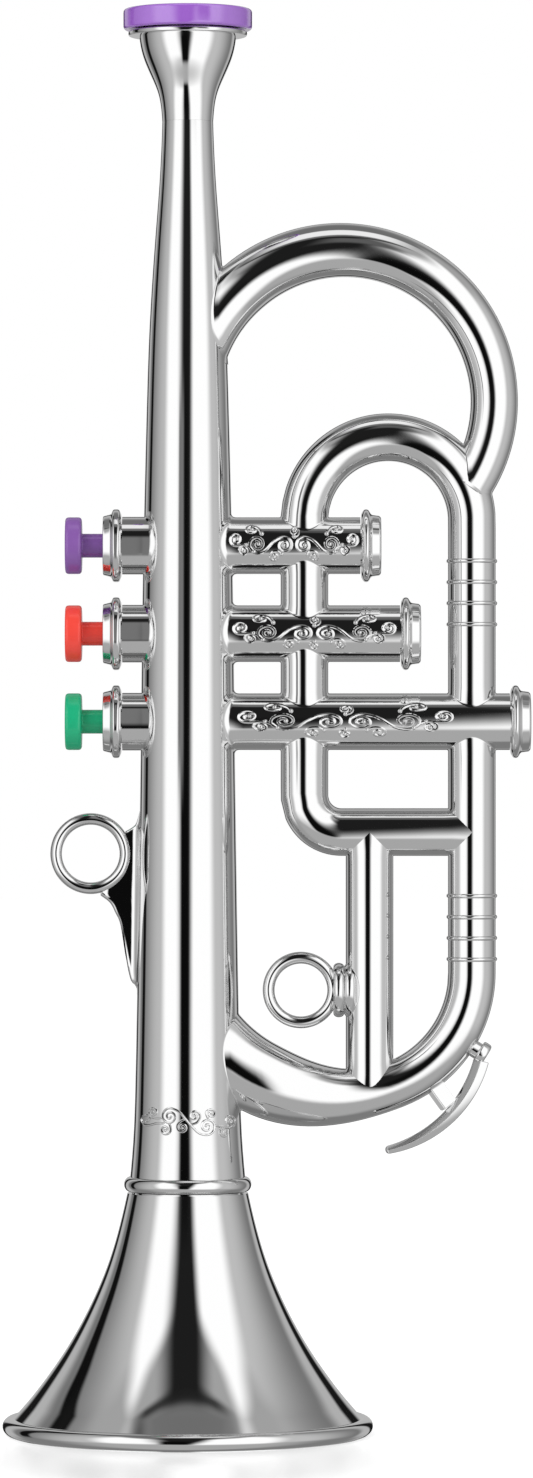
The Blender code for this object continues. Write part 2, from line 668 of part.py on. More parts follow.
def bell_ring():
    """Half-round bead ring that hides the joint."""
    inner_r = SEAT_R + FIT
    edge_r = TUBE_FOOT_R
    half = BEAD_RING_H / 2
    profile = [(inner_r, half)]
    for step in range(90, -91, -45):
        angle = math.radians(step)
        profile.append((edge_r + (BEAD_RING_R - edge_r) * math.cos(angle), half * math.sin(angle)))
    profile.append((inner_r, -half))
    keep(turned("bell_ring", profile, at(0.0, BEAD_RING_Z), sides=MAIN_SIDES), "chrome")


def casing_solid(number, grow):
    """The outer shape of one valve casing, for cutting its neighbours."""
    z = valve_height(number)
    return rod(f"beside_casing_{number + 1}", at(0.0, z), at(CASING_REACHES[number], z), CASING_R + grow,
               sides=SMALL_SIDES)


BESIDE_CASINGS = [as_cutter(casing_solid(number, FIT)) for number in range(VALVE_COUNT)]


def cap_width():
    """Length of an end cap outside its casing."""
    return CAP_BEAD_W + CAP_WAIST_W + CAP_END_W


def valve_casing(number):
    """Straight hollow casing, saddled to the main tube, with its beaded end cap."""
    z = valve_height(number)
    mouth_x = CASING_REACHES[number] - cap_width() - FIT
    casing = keep(rod(f"valve_casing_{number + 1}", at(0.0, z), at(mouth_x, z), CASING_R), "chrome")
    bore = as_cutter(rod(f"casing_bore_{number + 1}", at(0.0, z), at(mouth_x + OVERRUN, z), CASING_BORE_R))
    cut(casing, bore, BESIDE_MAIN_TUBE)

    spigot_r = CASING_BORE_R - FIT
    waist_foot = CAP_BEAD_W + CAP_WAIST_W
    width = cap_width()
    profile = [(0.0, width), (CAP_END_R - CAP_EDGE, width), (CAP_END_R, width - CAP_EDGE),
               (CAP_END_R, waist_foot), (CAP_WAIST_R, waist_foot), (CAP_WAIST_R, CAP_BEAD_W)]
    for step in range(50, -51, -50):
        angle = math.radians(step)
        profile.append((CAP_WAIST_R + (CAP_BEAD_R - CAP_WAIST_R) * math.cos(angle),
                        CAP_BEAD_W / 2 * (1 + math.sin(angle))))
    profile += [(CASING_R, 0.0), (spigot_r, 0.0), (spigot_r, -SPIGOT_L), (spigot_r - SPIGOT_WALL, -SPIGOT_L),
                (spigot_r - SPIGOT_WALL, 0.0), (0.0, 0.0)]
    keep(turned(f"casing_cap_{number + 1}", profile, at(mouth_x + FIT, z), "X", closed=False), "chrome")


def key_collar(number):
    """Flanged collar that plugs into a socket and guides the key's stem."""
    guide_r = STEM_R + RUN
    half = COLLAR_BEAD_W / 2
    foot = COLLAR_BEAD_W
    profile = [(COLLAR_SPIGOT_R, foot + SPIGOT_L), (COLLAR_SPIGOT_R, foot), (SOCKET_R, foot)]
    for step in range(50, -51, -50):
        angle = math.radians(step)
        profile.append((COLLAR_CONE_R + (COLLAR_BEAD_R - COLLAR_CONE_R) * math.cos(angle),
                        half * (1 + math.sin(angle))))
    profile += [(COLLAR_CONE_R, 0.0), (COLLAR_MOUTH_R, -COLLAR_CONE_L),
                (COLLAR_SPIGOT_R, -COLLAR_CONE_L), (COLLAR_SPIGOT_R, -COLLAR_CONE_L + COLLAR_RECESS),
                (guide_r, -COLLAR_CONE_L + COLLAR_RECESS),
                (guide_r, -COLLAR_CONE_L + COLLAR_RECESS + COLLAR_WEB_T),
                (COLLAR_SPIGOT_BORE_R, -COLLAR_CONE_L + COLLAR_RECESS + COLLAR_WEB_T),
                (COLLAR_SPIGOT_BORE_R, foot + SPIGOT_L)]
    centre = at(COLLAR_FOOT_X - COLLAR_BEAD_W, valve_height(number))
    keep(turned(f"key_collar_{number + 1}", profile, centre, "X"), "chrome")


def key(number, finish):
    """Push key in one moulding: cap, stem, stop flange, and the rod that carries the pad."""
    name = f"key_{number + 1}"
    z = valve_height(number)
    start = KEY_CAP_X - KEY_CAP_T
    stop = STOP_FLANGE_X - start
    profile = [(0.0, ROD_HEAD_X + ROD_HEAD_T - start), (ROD_HEAD_R, ROD_HEAD_X + ROD_HEAD_T - start),
               (ROD_HEAD_R, ROD_HEAD_X - start), (ROD_R, ROD_HEAD_X - start),
               (ROD_R, stop + STOP_FLANGE_T), (STOP_FLANGE_R, stop + STOP_FLANGE_T), (STOP_FLANGE_R, stop),
               (STEM_R, stop), (STEM_R, KEY_CAP_T)]
    for step in range(90, -1, -45):
        angle = math.radians(step)
        profile.append((KEY_CAP_R - KEY_CAP_EDGE + KEY_CAP_EDGE * math.cos(angle),
                        KEY_CAP_T - KEY_CAP_EDGE + KEY_CAP_EDGE * math.sin(angle)))
    for step in range(0, -91, -45):
        angle = math.radians(step)
        profile.append((KEY_CAP_R - KEY_CAP_EDGE + KEY_CAP_EDGE * math.cos(angle),
                        KEY_CAP_EDGE + KEY_CAP_EDGE * math.sin(angle)))
    profile.append((0.0, 0.0))
    keep(turned(name, profile, at(start, z), "X", closed=False), finish)

    profile = [(PAD_R, PAD_T), (PAD_R, 0.0), (ROD_R + FIT, 0.0), (ROD_R + FIT, PAD_T)]
    keep(turned(f"valve_pad_{number + 1}", profile, at(PAD_X, z), "X", sides=FINE_SIDES), "rubber")


def key_spring(number):
    """Return spring between the stop flange and the reed block, one unbroken coil."""
    z = valve_height(number)
    start = STOP_FLANGE_X + STOP_FLANGE_T + SPRING_GAP + SPRING_WIRE_D / 2
    end = BLOCK_LEFT_X - SPRING_GAP - SPRING_WIRE_D / 2
    count = round(SPRING_TURNS * COIL_POINTS)
    points = []
    for index in range(count + 1):
        share = index / count
        angle = math.tau * SPRING_TURNS * share
        points.append(at(start + (end - start) * share, z + SPRING_R * math.cos(angle),
                         SPRING_R * math.sin(angle)))
    wire = bent_tube(f"key_spring_{number + 1}", points, [SPRING_WIRE_D / 2] * len(points), 6)
    keep(wire, "steel")
    pitch = (end - start) / SPRING_TURNS
    print(wire.name, "gap between turns, mm:", round((pitch - SPRING_WIRE_D) / MM, 2))


def reed_block():
    """Wind chest: discs that seat in the bore, a wind channel, three ports and three chambers."""
    block = keep(box("reed_block", at(BLOCK_LEFT_X, BLOCK_FOOT_Z, -BLOCK_HALF),
                     at(BLOCK_RIGHT_X, BLOCK_TOP_Z, BLOCK_HALF)), "ivory")
    lower_r = tube_radius(BLOCK_FOOT_Z) - WALL - FIT
    top_disc = as_cutter(rod("block_top_disc", at(0.0, BLOCK_TOP_Z - BLOCK_DISC_T / 2),
                             at(0.0, BLOCK_TOP_Z + BLOCK_DISC_T), ROOM_R, MAIN_SIDES))
    low_disc = as_cutter(rod("block_low_disc", at(0.0, BLOCK_FOOT_Z - BLOCK_DISC_T),
                             at(0.0, BLOCK_FOOT_Z + BLOCK_DISC_T / 2), lower_r, MAIN_SIDES))
    sound_way = as_cutter(box("sound_way", at(BLOCK_RIGHT_X, BLOCK_FOOT_Z - OVERRUN, -HEIGHT),
                              at(HEIGHT, BLOCK_FOOT_Z + OVERRUN, HEIGHT)))
    channel_x = BLOCK_LEFT_X + BLOCK_WALL
    channel = as_cutter(box("wind_channel", at(channel_x, BLOCK_FOOT_Z + BLOCK_WALL, -CHAMBER_HALF),
                            at(PORT_WALL_X, BLOCK_TOP_Z + BLOCK_DISC_T + OVERRUN, CHAMBER_HALF)))
    join(block, top_disc, low_disc)
    cut(block, sound_way, channel)
    chamber_half_h = (VALVE_PITCH - RIB_T) / 2
    for number in range(VALVE_COUNT):
        z = valve_height(number)
        chamber = as_cutter(box(f"chamber_{number + 1}", at(CHAMBER_X, z - chamber_half_h, -CHAMBER_HALF),
                                at(BLOCK_RIGHT_X + OVERRUN, z + chamber_half_h, CHAMBER_HALF)))
        port = as_cutter(rod(f"port_{number + 1}", at(channel_x, z), at(CHAMBER_X + FIT, z), PORT_R,
                             FINE_SIDES))
        rod_hole = as_cutter(rod(f"rod_hole_{number + 1}", at(BLOCK_LEFT_X - FIT, z), at(channel_x + FIT, z),
                                 ROD_R + RUN, FINE_SIDES))
        cut(block, chamber, port, rod_hole)
    for number in range(VALVE_COUNT - 1):
        z = valve_height(number) - VALVE_PITCH / 2
        cut(block, as_cutter(rod(f"screw_hole_{number + 1}", at(BLOCK_RIGHT_X - SCREW_GRIP - FIT, z),
                                 at(REED_X, z), SCREW_R + FIT, FINE_SIDES)))


def plate_and_gasket():
    """Gasket and reed plate on the open side of the chambers, with their screws."""
    low_z = BLOCK_FOOT_Z + BLOCK_DISC_T / 2 + FIT
    high_z = BLOCK_TOP_Z - BLOCK_DISC_T / 2 - FIT
    gasket = keep(box("block_gasket", at(GASKET_X, low_z, -PLATE_HALF),
                      at(GASKET_X + GASKET_T, high_z, PLATE_HALF)), "rubber")
    plate = keep(box("reed_plate", at(PLATE_X, low_z, -PLATE_HALF),
                     at(PLATE_X + PLATE_T, high_z, PLATE_HALF)), "ivory")
    window_half = (PAD_R + RUN + CHAMBER_HALF) / 2
    chamber_half_h = (VALVE_PITCH - RIB_T) / 2
    for number in range(VALVE_COUNT):
        z = valve_height(number)
        cut(gasket, as_cutter(box(f"gasket_window_{number + 1}",
                                  at(GASKET_X - FIT, z - chamber_half_h, -window_half),
                                  at(PLATE_X, z + chamber_half_h, window_half))))
        slot_half = REED_W / 2 - SLOT_SPARE
        slot_top = z + REED_L / 2 - REED_ROOT_L
        cut(plate, as_cutter(box(f"reed_slot_{number + 1}", at(PLATE_X - FIT, z - REED_L / 2, -slot_half),
                                 at(REED_X, slot_top, slot_half))))
    for number in range(VALVE_COUNT - 1):
        hole = bpy.data.objects[f"screw_hole_{number + 1}"]
        cut(gasket, hole)
        cut(plate, hole)
        z = valve_height(number) - VALVE_PITCH / 2
        tip = BLOCK_RIGHT_X - SCREW_GRIP
        length = REED_X + SCREW_HEAD_T - tip
        profile = [(0.0, length), (SCREW_HEAD_R, length), (SCREW_HEAD_R, length - SCREW_HEAD_T),
                   (SCREW_R, length - SCREW_HEAD_T), (SCREW_R, 0.0), (0.0, 0.0)]
        keep(turned(f"plate_screw_{number + 1}", profile, at(tip, z), "X", sides=FINE_SIDES,
                    closed=False), "steel")


def reed(number):
    """Brass tongue over its slot, with a thicker root."""
    z = valve_height(number)
    low_z = z - REED_L / 2
    high_z = z + REED_L / 2
    tongue = keep(box(f"reed_{number + 1}", at(REED_X, low_z, -REED_W / 2),
                      at(REED_X + REED_T, high_z, REED_W / 2)), "brass")
    root = as_cutter(box(f"reed_root_{number + 1}", at(REED_X, high_z - REED_ROOT_L, -REED_W / 2),
                         at(REED_X + REED_ROOT_T, high_z, REED_W / 2)))
    join(tongue, root)


def loop_path():
    """Centre line of the loop's top: left leg, half circle, right leg."""
    bend = (LOOP_RIGHT_X - LOOP_LEFT_X) / 2
    centre_x = (LOOP_RIGHT_X + LOOP_LEFT_X) / 2
    return [at(LOOP_LEFT_X, valve_height(0)), *arc(centre_x, LOOP_TOP_Z, bend, 180.0, 0.0, LOOP_STEP_ANGLE),
            at(LOOP_RIGHT_X, valve_height(VALVE_COUNT - 1))]


def corner_path():
    """Centre line of the left leg's foot, the corner and the level tube."""
    return [at(LOOP_LEFT_X, valve_height(VALVE_COUNT - 1)),
            *arc(LOOP_LEFT_X + CORNER_BEND, LEVEL_Z + CORNER_BEND, CORNER_BEND, 180.0, 270.0,
                 CORNER_STEP_ANGLE),
            at(LOOP_RIGHT_X, LEVEL_Z)]


def upper_bow_path():
    """Centre line of the upper bow and the angles of its points."""
    start = UPPER_BOW_START_ANGLE
    end = UPPER_BOW_END_ANGLE
    count = round((start - end) / BEND_STEP_ANGLE)
    angles = [start + (end - start) * index / count for index in range(count + 1)]
    points = arc(UPPER_BOW_X, UPPER_BOW_Z, UPPER_BOW_BEND, start, end)
    return points, angles


def bottom_bow_path():
    """Centre line of the right leg's foot and the bottom bow, and how flared each point is."""
    centre_x = LOOP_RIGHT_X - TIGHT_BEND
    wide_x = centre_x - (WIDE_BEND - TIGHT_BEND) * TURN_COSINE
    wide_z = LEG_FOOT_Z + (WIDE_BEND - TIGHT_BEND) * math.sin(math.radians(TIGHT_TURN_ANGLE))
    tight = arc(centre_x, LEG_FOOT_Z, TIGHT_BEND, 0.0, -TIGHT_TURN_ANGLE)
    wide = arc(wide_x, wide_z, WIDE_BEND, -TIGHT_TURN_ANGLE, BOTTOM_BOW_END_ANGLE)
    points = [at(LOOP_RIGHT_X, valve_height(VALVE_COUNT - 1)), *tight, *wide[1:]]
    flare_start, flare_end = BOTTOM_BOW_FLARE_ANGLES
    flares = [0.0] * (1 + len(tight))
    for index in range(1, len(wide)):
        angle = -TIGHT_TURN_ANGLE + (BOTTOM_BOW_END_ANGLE + TIGHT_TURN_ANGLE) * index / (len(wide) - 1)
        flares.append(smooth((angle - flare_start) / (flare_end - flare_start)))
    return points, flares


def bottom_bow_solid(name, grow, sides):
    """The bottom bow as a solid bar, grown or shrunk by a length."""
    points, flares = bottom_bow_path()
    radii = [LOOP_R + (BOTTOM_BOW_ROOT_R - LOOP_R) * flare + grow for flare in flares]
    return bent_tube(name, points, radii, sides)


BESIDE_LOOP = as_cutter(bent_tube("beside_loop", loop_path(), [LOOP_R + FIT] * len(loop_path()), TUBE_SIDES))
BESIDE_BOTTOM_BOW = as_cutter(bottom_bow_solid("beside_bottom_bow", FIT, TUBE_SIDES))
BESIDE_CORNER = as_cutter(bent_tube("beside_corner", corner_path(), [LOOP_R + FIT] * len(corner_path()),
                                    TUBE_SIDES))
BESIDE_DROP = as_cutter(rod("beside_drop", at(DROP_X, LEG_FOOT_Z - TIGHT_BEND), at(DROP_X, LEVEL_Z),
                            LOOP_R + FIT, TUBE_SIDES))


def loop():
    """Inner loop: its top, the stubs between the casings, and the corner with the level tube."""
    path = loop_path()
    bore = as_cutter(bent_tube("loop_bore", path, [LOOP_R - WALL] * len(path), BORE_SIDES))
    halves("loop_top", bent_tube("loop_outer", path, [LOOP_R] * len(path), TUBE_SIDES), bore,
           [BESIDE_CASINGS[0], BESIDE_CASINGS[-1]])
    for number in range(VALVE_COUNT - 1):
        top = at(LOOP_LEFT_X, valve_height(number))
        foot = at(LOOP_LEFT_X, valve_height(number + 1))
        stub = keep(rod(f"loop_stub_{number + 1}", foot, top, LOOP_R, TUBE_SIDES), "chrome")
        stub_bore = as_cutter(rod(f"stub_bore_{number + 1}", foot, top, LOOP_R - WALL, BORE_SIDES))
        cut(stub, BESIDE_CASINGS[number], BESIDE_CASINGS[number + 1], stub_bore)
    path = corner_path()
    bore = as_cutter(bent_tube("corner_bore", path, [LOOP_R - WALL] * len(path), BORE_SIDES))
    halves("loop_corner", bent_tube("corner_outer", path, [LOOP_R] * len(path), TUBE_SIDES), bore,
           [BESIDE_CASINGS[-1], BESIDE_BOTTOM_BOW])


def upper_bow():
    """Tapered bow from the main tube over to the loop's right shoulder."""
    points, angles = upper_bow_path()
    taper_start, taper_end = UPPER_BOW_TAPER_ANGLES
    radii = []
    for angle in angles:
        share = min(1.0, max(0.0, (angle - taper_start) / (taper_end - taper_start)))
        radii.append(UPPER_BOW_ROOT_R + (UPPER_BOW_TIP_R - UPPER_BOW_ROOT_R) * share)
    bore = as_cutter(bent_tube("upper_bow_bore", extended(points, OVERRUN),
                               [radius - WALL for radius in (radii[0], *radii, radii[-1])], BORE_SIDES))
    halves("upper_bow", bent_tube("upper_bow_outer", points, radii, TUBE_SIDES), bore,
           [BESIDE_MAIN_TUBE, BESIDE_LOOP])


def bottom_bow():
    """Right leg below the third casing, and the flared bow back to the main tube."""
    bore = as_cutter(bottom_bow_solid("bottom_bow_bore", -WALL, BORE_SIDES))
    halves("bottom_bow", bottom_bow_solid("bottom_bow_outer", 0.0, TUBE_SIDES), bore,
           [BESIDE_CASINGS[-1], BESIDE_MAIN_TUBE])


def drop_tube():
    """Upright tube from the level tube down to the bottom bow."""
    foot = at(DROP_X, LEG_FOOT_Z - TIGHT_BEND)
    top = at(DROP_X, LEVEL_Z)
    tube = keep(rod("drop_tube", foot, top, LOOP_R, TUBE_SIDES), "chrome")
    bore = as_cutter(rod("drop_bore", foot, top, LOOP_R - WALL, BORE_SIDES))
    cut(tube, BESIDE_CORNER, BESIDE_BOTTOM_BOW, bore)


def ring_profile(ring_r, wire_r):
    """Round section of a finger ring, run down its outer side."""
    points = []
    for index in range(FINE_SIDES):
        angle = math.pi / 2 - math.tau * index / FINE_SIDES
        points.append((ring_r + wire_r * math.cos(angle), wire_r * math.sin(angle)))
    return points


def thumb_ring():
    """Thumb ring on the left of the main tube, on a web that runs down the tube."""
    ring = keep(turned("thumb_ring", ring_profile(THUMB_RING_R, THUMB_WIRE_R), at(THUMB_X, THUMB_Z), "Y"),
                "chrome")
    outline = [at(THUMB_X * (1 - x_share), THUMB_Z - WEB_DROP * z_share) for x_share, z_share in WEB_LOWER_SHARES]
    root_x = THUMB_X * (1 - WEB_ROOT_SHARE)
    outline += [at(root_x, THUMB_Z - WEB_DROP), at(root_x, THUMB_Z - WEB_DROP * WEB_UPPER_SHARES[0][1])]
    outline += [at(THUMB_X * (1 - x_share), THUMB_Z - WEB_DROP * z_share) for x_share, z_share in WEB_UPPER_SHARES]
    outline += arc(THUMB_X, THUMB_Z, THUMB_RING_R, *WEB_ARC_ANGLES, WEB_STEP_ANGLE)
    web = as_cutter(flat_shape("thumb_web", outline, WEB_T))
    join(ring, web)
    cut(ring, BESIDE_MAIN_TUBE)


def finger_ring():
    """Finger ring on the drop tube, with two round beads between ring and tube."""
    ring = keep(turned("finger_ring", ring_profile(FINGER_RING_R, FINGER_WIRE_R), at(FINGER_X, FINGER_Z), "Y"),
                "chrome")
    start = FINGER_X + FINGER_RING_R
    waist_r = FINGER_BEAD_R - FINGER_BEAD_WAIST
    profile = [(0.0, FINGER_BEAD_W * 2)]
    for bead in (1, 0):
        for step in range(90, -91, -45):
            angle = math.radians(step)
            profile.append((waist_r + (FINGER_BEAD_R - waist_r) * math.cos(angle),
                            FINGER_BEAD_W * (bead + 0.5 + 0.5 * math.sin(angle))))
    profile.append((0.0, 0.0))
    beads = as_cutter(turned("finger_beads", profile, at(start, FINGER_Z), "X", closed=False))
    join(ring, beads)
    cut(ring, BESIDE_DROP)


def water_key():
    """Decorative water key in one moulding: boss and disc, curved lever, post."""
    centre_x = LOOP_RIGHT_X - TIGHT_BEND

    def on_ray(angle, radius):
        turn = math.radians(angle)
        return at(centre_x + radius * math.cos(turn), LEG_FOOT_Z + radius * math.sin(turn))

    lever_x = centre_x + LEVER_SHIFT
    lever_z = LEG_FOOT_Z - LEVER_DROP
    start, end = LEVER_ARC_ANGLES
    count = round((start - end) / BEND_STEP_ANGLE)
    outer = []
    inner = []
    for index in range(count + 1):
        angle = math.radians(start + (end - start) * index / count)
        half = (LEVER_ROOT_W + (LEVER_TIP_W - LEVER_ROOT_W) * (index / count) ** 2) / 2
        for edge, radius in ((outer, LEVER_BEND + half), (inner, LEVER_BEND - half)):
            edge.append(at(lever_x + radius * math.cos(angle), lever_z + radius * math.sin(angle)))
    lever = keep(flat_shape("water_key", outer + inner[::-1], LEVER_DEPTH), "chrome")
    boss = as_cutter(rod("water_boss", on_ray(WATER_KEY_ANGLE, TIGHT_BEND),
                         on_ray(WATER_KEY_ANGLE, WATER_REACH - WATER_DISC_T / 2), WATER_BOSS_R, FINE_SIDES))
    disc = as_cutter(rod("water_disc", on_ray(WATER_KEY_ANGLE, WATER_REACH - WATER_DISC_T),
                         on_ray(WATER_KEY_ANGLE, WATER_REACH), WATER_DISC_R, FINE_SIDES))
    post_start = on_ray(POST_ANGLE, TIGHT_BEND)
    post_end = on_ray(POST_ANGLE, TIGHT_BEND + LOOP_R + POST_W * 1.5)
    post = as_cutter(rod("water_post", post_start, post_end, POST_W / math.sqrt(2), 4))
    join(lever, boss, disc, post)
    cut(lever, BESIDE_BOTTOM_BOW)


main_tube()
mouthpiece()
bell()
bell_ring()
for valve in range(VALVE_COUNT):
    valve_casing(valve)
    key_collar(valve)
    key(valve, ("purple", "red", "green")[valve])
    key_spring(valve)
    reed(valve)
reed_block()
plate_and_gasket()
upper_bow()
loop()
bottom_bow()
drop_tube()
thumb_ring()
finger_ring()
water_key()
print("pieces:", len(PARTS.objects))
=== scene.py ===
# %% [markdown]
# # A chrome toy trumpet on a white table
#
# The real object is a child's trumpet moulded in plastic and plated to a mirror shine, with three
# coloured push keys. Its solids come from CAD with few facets, which a mirror finish would show at
# once. So this script builds a smooth skin over each plated solid, adds the trim that the eye looks
# for, and gives every surface its finish. Nothing moves or resizes: the CAD model is the frame.

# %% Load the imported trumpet
import math

import bmesh
import bpy
from mathutils import Matrix, Vector


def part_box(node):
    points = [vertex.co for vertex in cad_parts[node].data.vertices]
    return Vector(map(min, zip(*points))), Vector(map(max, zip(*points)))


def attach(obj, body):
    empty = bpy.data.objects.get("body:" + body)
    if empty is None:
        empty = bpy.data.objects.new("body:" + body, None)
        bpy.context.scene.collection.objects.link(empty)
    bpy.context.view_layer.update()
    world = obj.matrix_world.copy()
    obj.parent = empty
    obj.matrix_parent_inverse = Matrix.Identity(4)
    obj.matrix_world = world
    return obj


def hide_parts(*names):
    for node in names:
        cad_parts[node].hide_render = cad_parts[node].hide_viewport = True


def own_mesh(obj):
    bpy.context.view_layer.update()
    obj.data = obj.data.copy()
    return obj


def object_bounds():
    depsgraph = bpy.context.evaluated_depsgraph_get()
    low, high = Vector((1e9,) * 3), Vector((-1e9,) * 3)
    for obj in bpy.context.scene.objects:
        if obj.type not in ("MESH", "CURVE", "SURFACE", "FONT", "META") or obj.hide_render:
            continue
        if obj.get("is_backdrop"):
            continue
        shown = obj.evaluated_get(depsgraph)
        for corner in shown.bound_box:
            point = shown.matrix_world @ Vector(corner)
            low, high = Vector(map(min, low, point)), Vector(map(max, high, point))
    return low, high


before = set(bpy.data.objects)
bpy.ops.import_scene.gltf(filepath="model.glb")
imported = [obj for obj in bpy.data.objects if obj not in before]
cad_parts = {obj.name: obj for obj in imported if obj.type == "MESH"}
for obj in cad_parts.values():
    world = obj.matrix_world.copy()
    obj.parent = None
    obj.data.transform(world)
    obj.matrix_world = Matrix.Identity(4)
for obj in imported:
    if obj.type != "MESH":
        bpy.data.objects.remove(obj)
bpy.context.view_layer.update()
MM = 0.001
TRUMPET = "trumpet"

# %% [markdown]
# ## Camera
#
# The photograph looks straight at the trumpet from almost two metres, a little below its middle.
# A long lens keeps the tubes parallel. It is worked out from the height of the picture's frame at
# the trumpet, which can be measured.

# %% Set up the camera
CAMERA_AWAY = 1.81
CAMERA_HEIGHT = 180.5 * MM
FRAME_HEIGHT = 383.9 * MM       # seen at the trumpet, from the top of the picture to its foot
FILM_HEIGHT = 36.0              # the camera's own unit, which is a millimetre


def add_piece(name, data):
    """Make an object of its data and put it in the scene."""
    piece = bpy.data.objects.new(name, data)
    bpy.context.scene.collection.objects.link(piece)
    return piece


camera_data = bpy.data.cameras.new("portrait_camera")
camera_data.sensor_fit = "VERTICAL"
camera_data.sensor_height = FILM_HEIGHT
camera_data.lens = FILM_HEIGHT * CAMERA_AWAY / FRAME_HEIGHT
camera = add_piece("portrait_camera", camera_data)
camera.location = (0.0, -CAMERA_AWAY, CAMERA_HEIGHT)
camera.rotation_euler = (math.pi / 2, 0.0, 0.0)
bpy.context.scene.camera = camera
bpy.context.scene.view_settings.view_transform = "Standard"
print("lens:", round(camera_data.lens, 1), "mm")

# %% [markdown]
# ## Helpers for materials
#
# Colours are easiest to read off a picture as sRGB hex values, but shaders work in linear light, so
# one function converts them. Another adds a node with its settings and its links in one line, which
# keeps the node trees below short enough to read.

# %% Colour and node helpers
MATH = "ShaderNodeMath"
RANGE = "ShaderNodeMapRange"
NOISE = "ShaderNodeTexNoise"


def linear(hex_colour):
    """Turn an sRGB hex colour into the linear RGBA that a shader's socket takes."""
    shares = [int(hex_colour[place:place + 2], 16) / 255 for place in (1, 3, 5)]
    return (*(s / 12.92 if s <= 0.04045 else ((s + 0.055) / 1.055) ** 2.4 for s in shares), 1.0)


def connect(tree, node, links):
    """Feed sockets, in order or as {socket: feed}, with a value, another node or one of its outputs."""
    for socket, feed in links.items() if isinstance(links, dict) else enumerate(links):
        if isinstance(feed, bpy.types.Node):
            feed = feed.outputs[0]
        if isinstance(feed, bpy.types.NodeSocket):
            tree.links.new(feed, node.inputs[socket])
        else:
            node.inputs[socket].default_value = feed
    return node


def add_node(tree, kind, links=(), **settings):
    """Add a node with its settings and its links."""
    node = tree.nodes.new(kind)
    for name, value in settings.items():
        setattr(node, name, value)
    return connect(tree, node, links)


def new_finish(name):
    """Start a material and hand it back with its tree and its Principled shader."""
    material = bpy.data.materials.new(name)
    material.use_nodes = True
    return material, material.node_tree, material.node_tree.nodes["Principled BSDF"]


WHITE = linear("#ffffff")
print("mid grey in linear light:", [round(share, 3) for share in linear("#808080")])

# %% [markdown]
# ## Studio
#
# Chrome has no colour of its own: it is a picture of the room. The photograph's tubes show two tall
# soft boxes with a dark gap between them, where the camera stands, grey walls at the sides and dark
# boards behind that draw a thin dark edge. Mirrors get that room from a large dome that only they
# can see. Matt surfaces and the floor are lit by a pale world and two soft lamps, so a colour renders
# about as it is written.

# %% World
AIR_LIGHT = 0.62                # what the pale room gives to matt surfaces


def seen_ray(tree):
    """One for camera, mirror and glass rays, which look at things, and zero for rays that light them."""
    path = add_node(tree, "ShaderNodeLightPath").outputs
    looked = add_node(tree, MATH, [path["Is Camera Ray"], path["Is Glossy Ray"]], operation="MAXIMUM")
    return add_node(tree, MATH, [looked, path["Is Transmission Ray"]], operation="MAXIMUM")


world = bpy.data.worlds.new("pale_room")
world.use_nodes = True
bpy.context.scene.world = world
air = world.node_tree
brightness = add_node(air, RANGE, {"Value": seen_ray(air), "To Min": AIR_LIGHT, "To Max": 1.0})
connect(air, air.nodes["Background"], {"Color": WHITE, "Strength": brightness})
print("world:", world.name, "gives matt surfaces", AIR_LIGHT)

# %% [markdown]
# The table is a satin acrylic sheet: bright and matt, but polished just before the bell, where it
# mirrors the rim. Its own glow lifts it to white for the eye and leaves its shadow in place. Just
# before the bell that glow is turned down, which paints shade on the table there.

# %% Table
SQUARE = ((-1, -1), (1, -1), (1, 1), (-1, 1))
FLOOR_HALF = 6.0
FLOOR_GLOW = 0.5
# Painted shade: the table's glow just before the bell is lower than elsewhere, so the table is darker there
SHADED_GLOW = 0.3             # less than the rest of the table, so that the reflection is seen
POLISHED_SPECULAR = 0.5
POLISH_AND_SHADE_SPOT = (-20.5 * MM, -70.0 * MM, 0.0)
POLISH_AND_SHADE_STARTS = 75.0 * MM       # distances from that spot
POLISH_AND_SHADE_IS_FULL = 35.0 * MM

floor_data = bpy.data.meshes.new("white_table")
floor_data.from_pydata([(x * FLOOR_HALF, y * FLOOR_HALF, 0.0) for x, y in SQUARE], [], [(0, 1, 2, 3)])
floor = add_piece("white_table", floor_data)
floor.visible_glossy = False     # the mirrors see the table as the dome below paints it
floor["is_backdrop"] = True

table_finish, tree, shader = new_finish("satin_acrylic_table")
off = add_node(tree, "ShaderNodeVectorMath", [add_node(tree, "ShaderNodeTexCoord").outputs["Object"], POLISH_AND_SHADE_SPOT],
               operation="DISTANCE").outputs["Value"]
# Share of polish before the bell, which also turns the glow down there and so paints shade on the table
polished_and_shaded = add_node(tree, RANGE, {"Value": off, "From Min": POLISH_AND_SHADE_STARTS, "From Max": POLISH_AND_SHADE_IS_FULL},
                    interpolation_type="SMOOTHSTEP")
lift = add_node(tree, RANGE, {"Value": polished_and_shaded, "To Min": FLOOR_GLOW, "To Max": SHADED_GLOW})
connect(tree, shader, {
    "Base Color": linear("#ebebeb"), "Roughness": 0.2, "Emission Color": WHITE,
    "Specular IOR Level": add_node(tree, MATH, [polished_and_shaded, POLISHED_SPECULAR], operation="MULTIPLY"),
    "Emission Strength": add_node(tree, MATH, [seen_ray(tree), lift], operation="MULTIPLY")})
floor_data.materials.append(table_finish)
print("table:", 2 * FLOOR_HALF, "m wide, polished within", round(POLISH_AND_SHADE_STARTS / MM), "mm of the bell's front")

# %% Lamps for matt surfaces
LAMPS = {                       # place, side and power
    "key_lamp": ((-1.3, -1.5, 1.6), 1.2, 26.0),
    "fill_lamp": ((1.5, -1.3, 1.0), 1.2, 12.0),
}
for name, (place, side, power) in LAMPS.items():
    lamp_data = bpy.data.lights.new(name, "AREA")
    lamp_data.size = side
    lamp_data.energy = power
    lamp = add_piece(name, lamp_data)
    lamp.location = place
    lamp.rotation_euler = (Vector((0.0, 0.0, CAMERA_HEIGHT)) - Vector(place)).to_track_quat("-Z", "Y").to_euler()
    lamp.visible_glossy = False
print("lamps:", ", ".join(LAMPS))

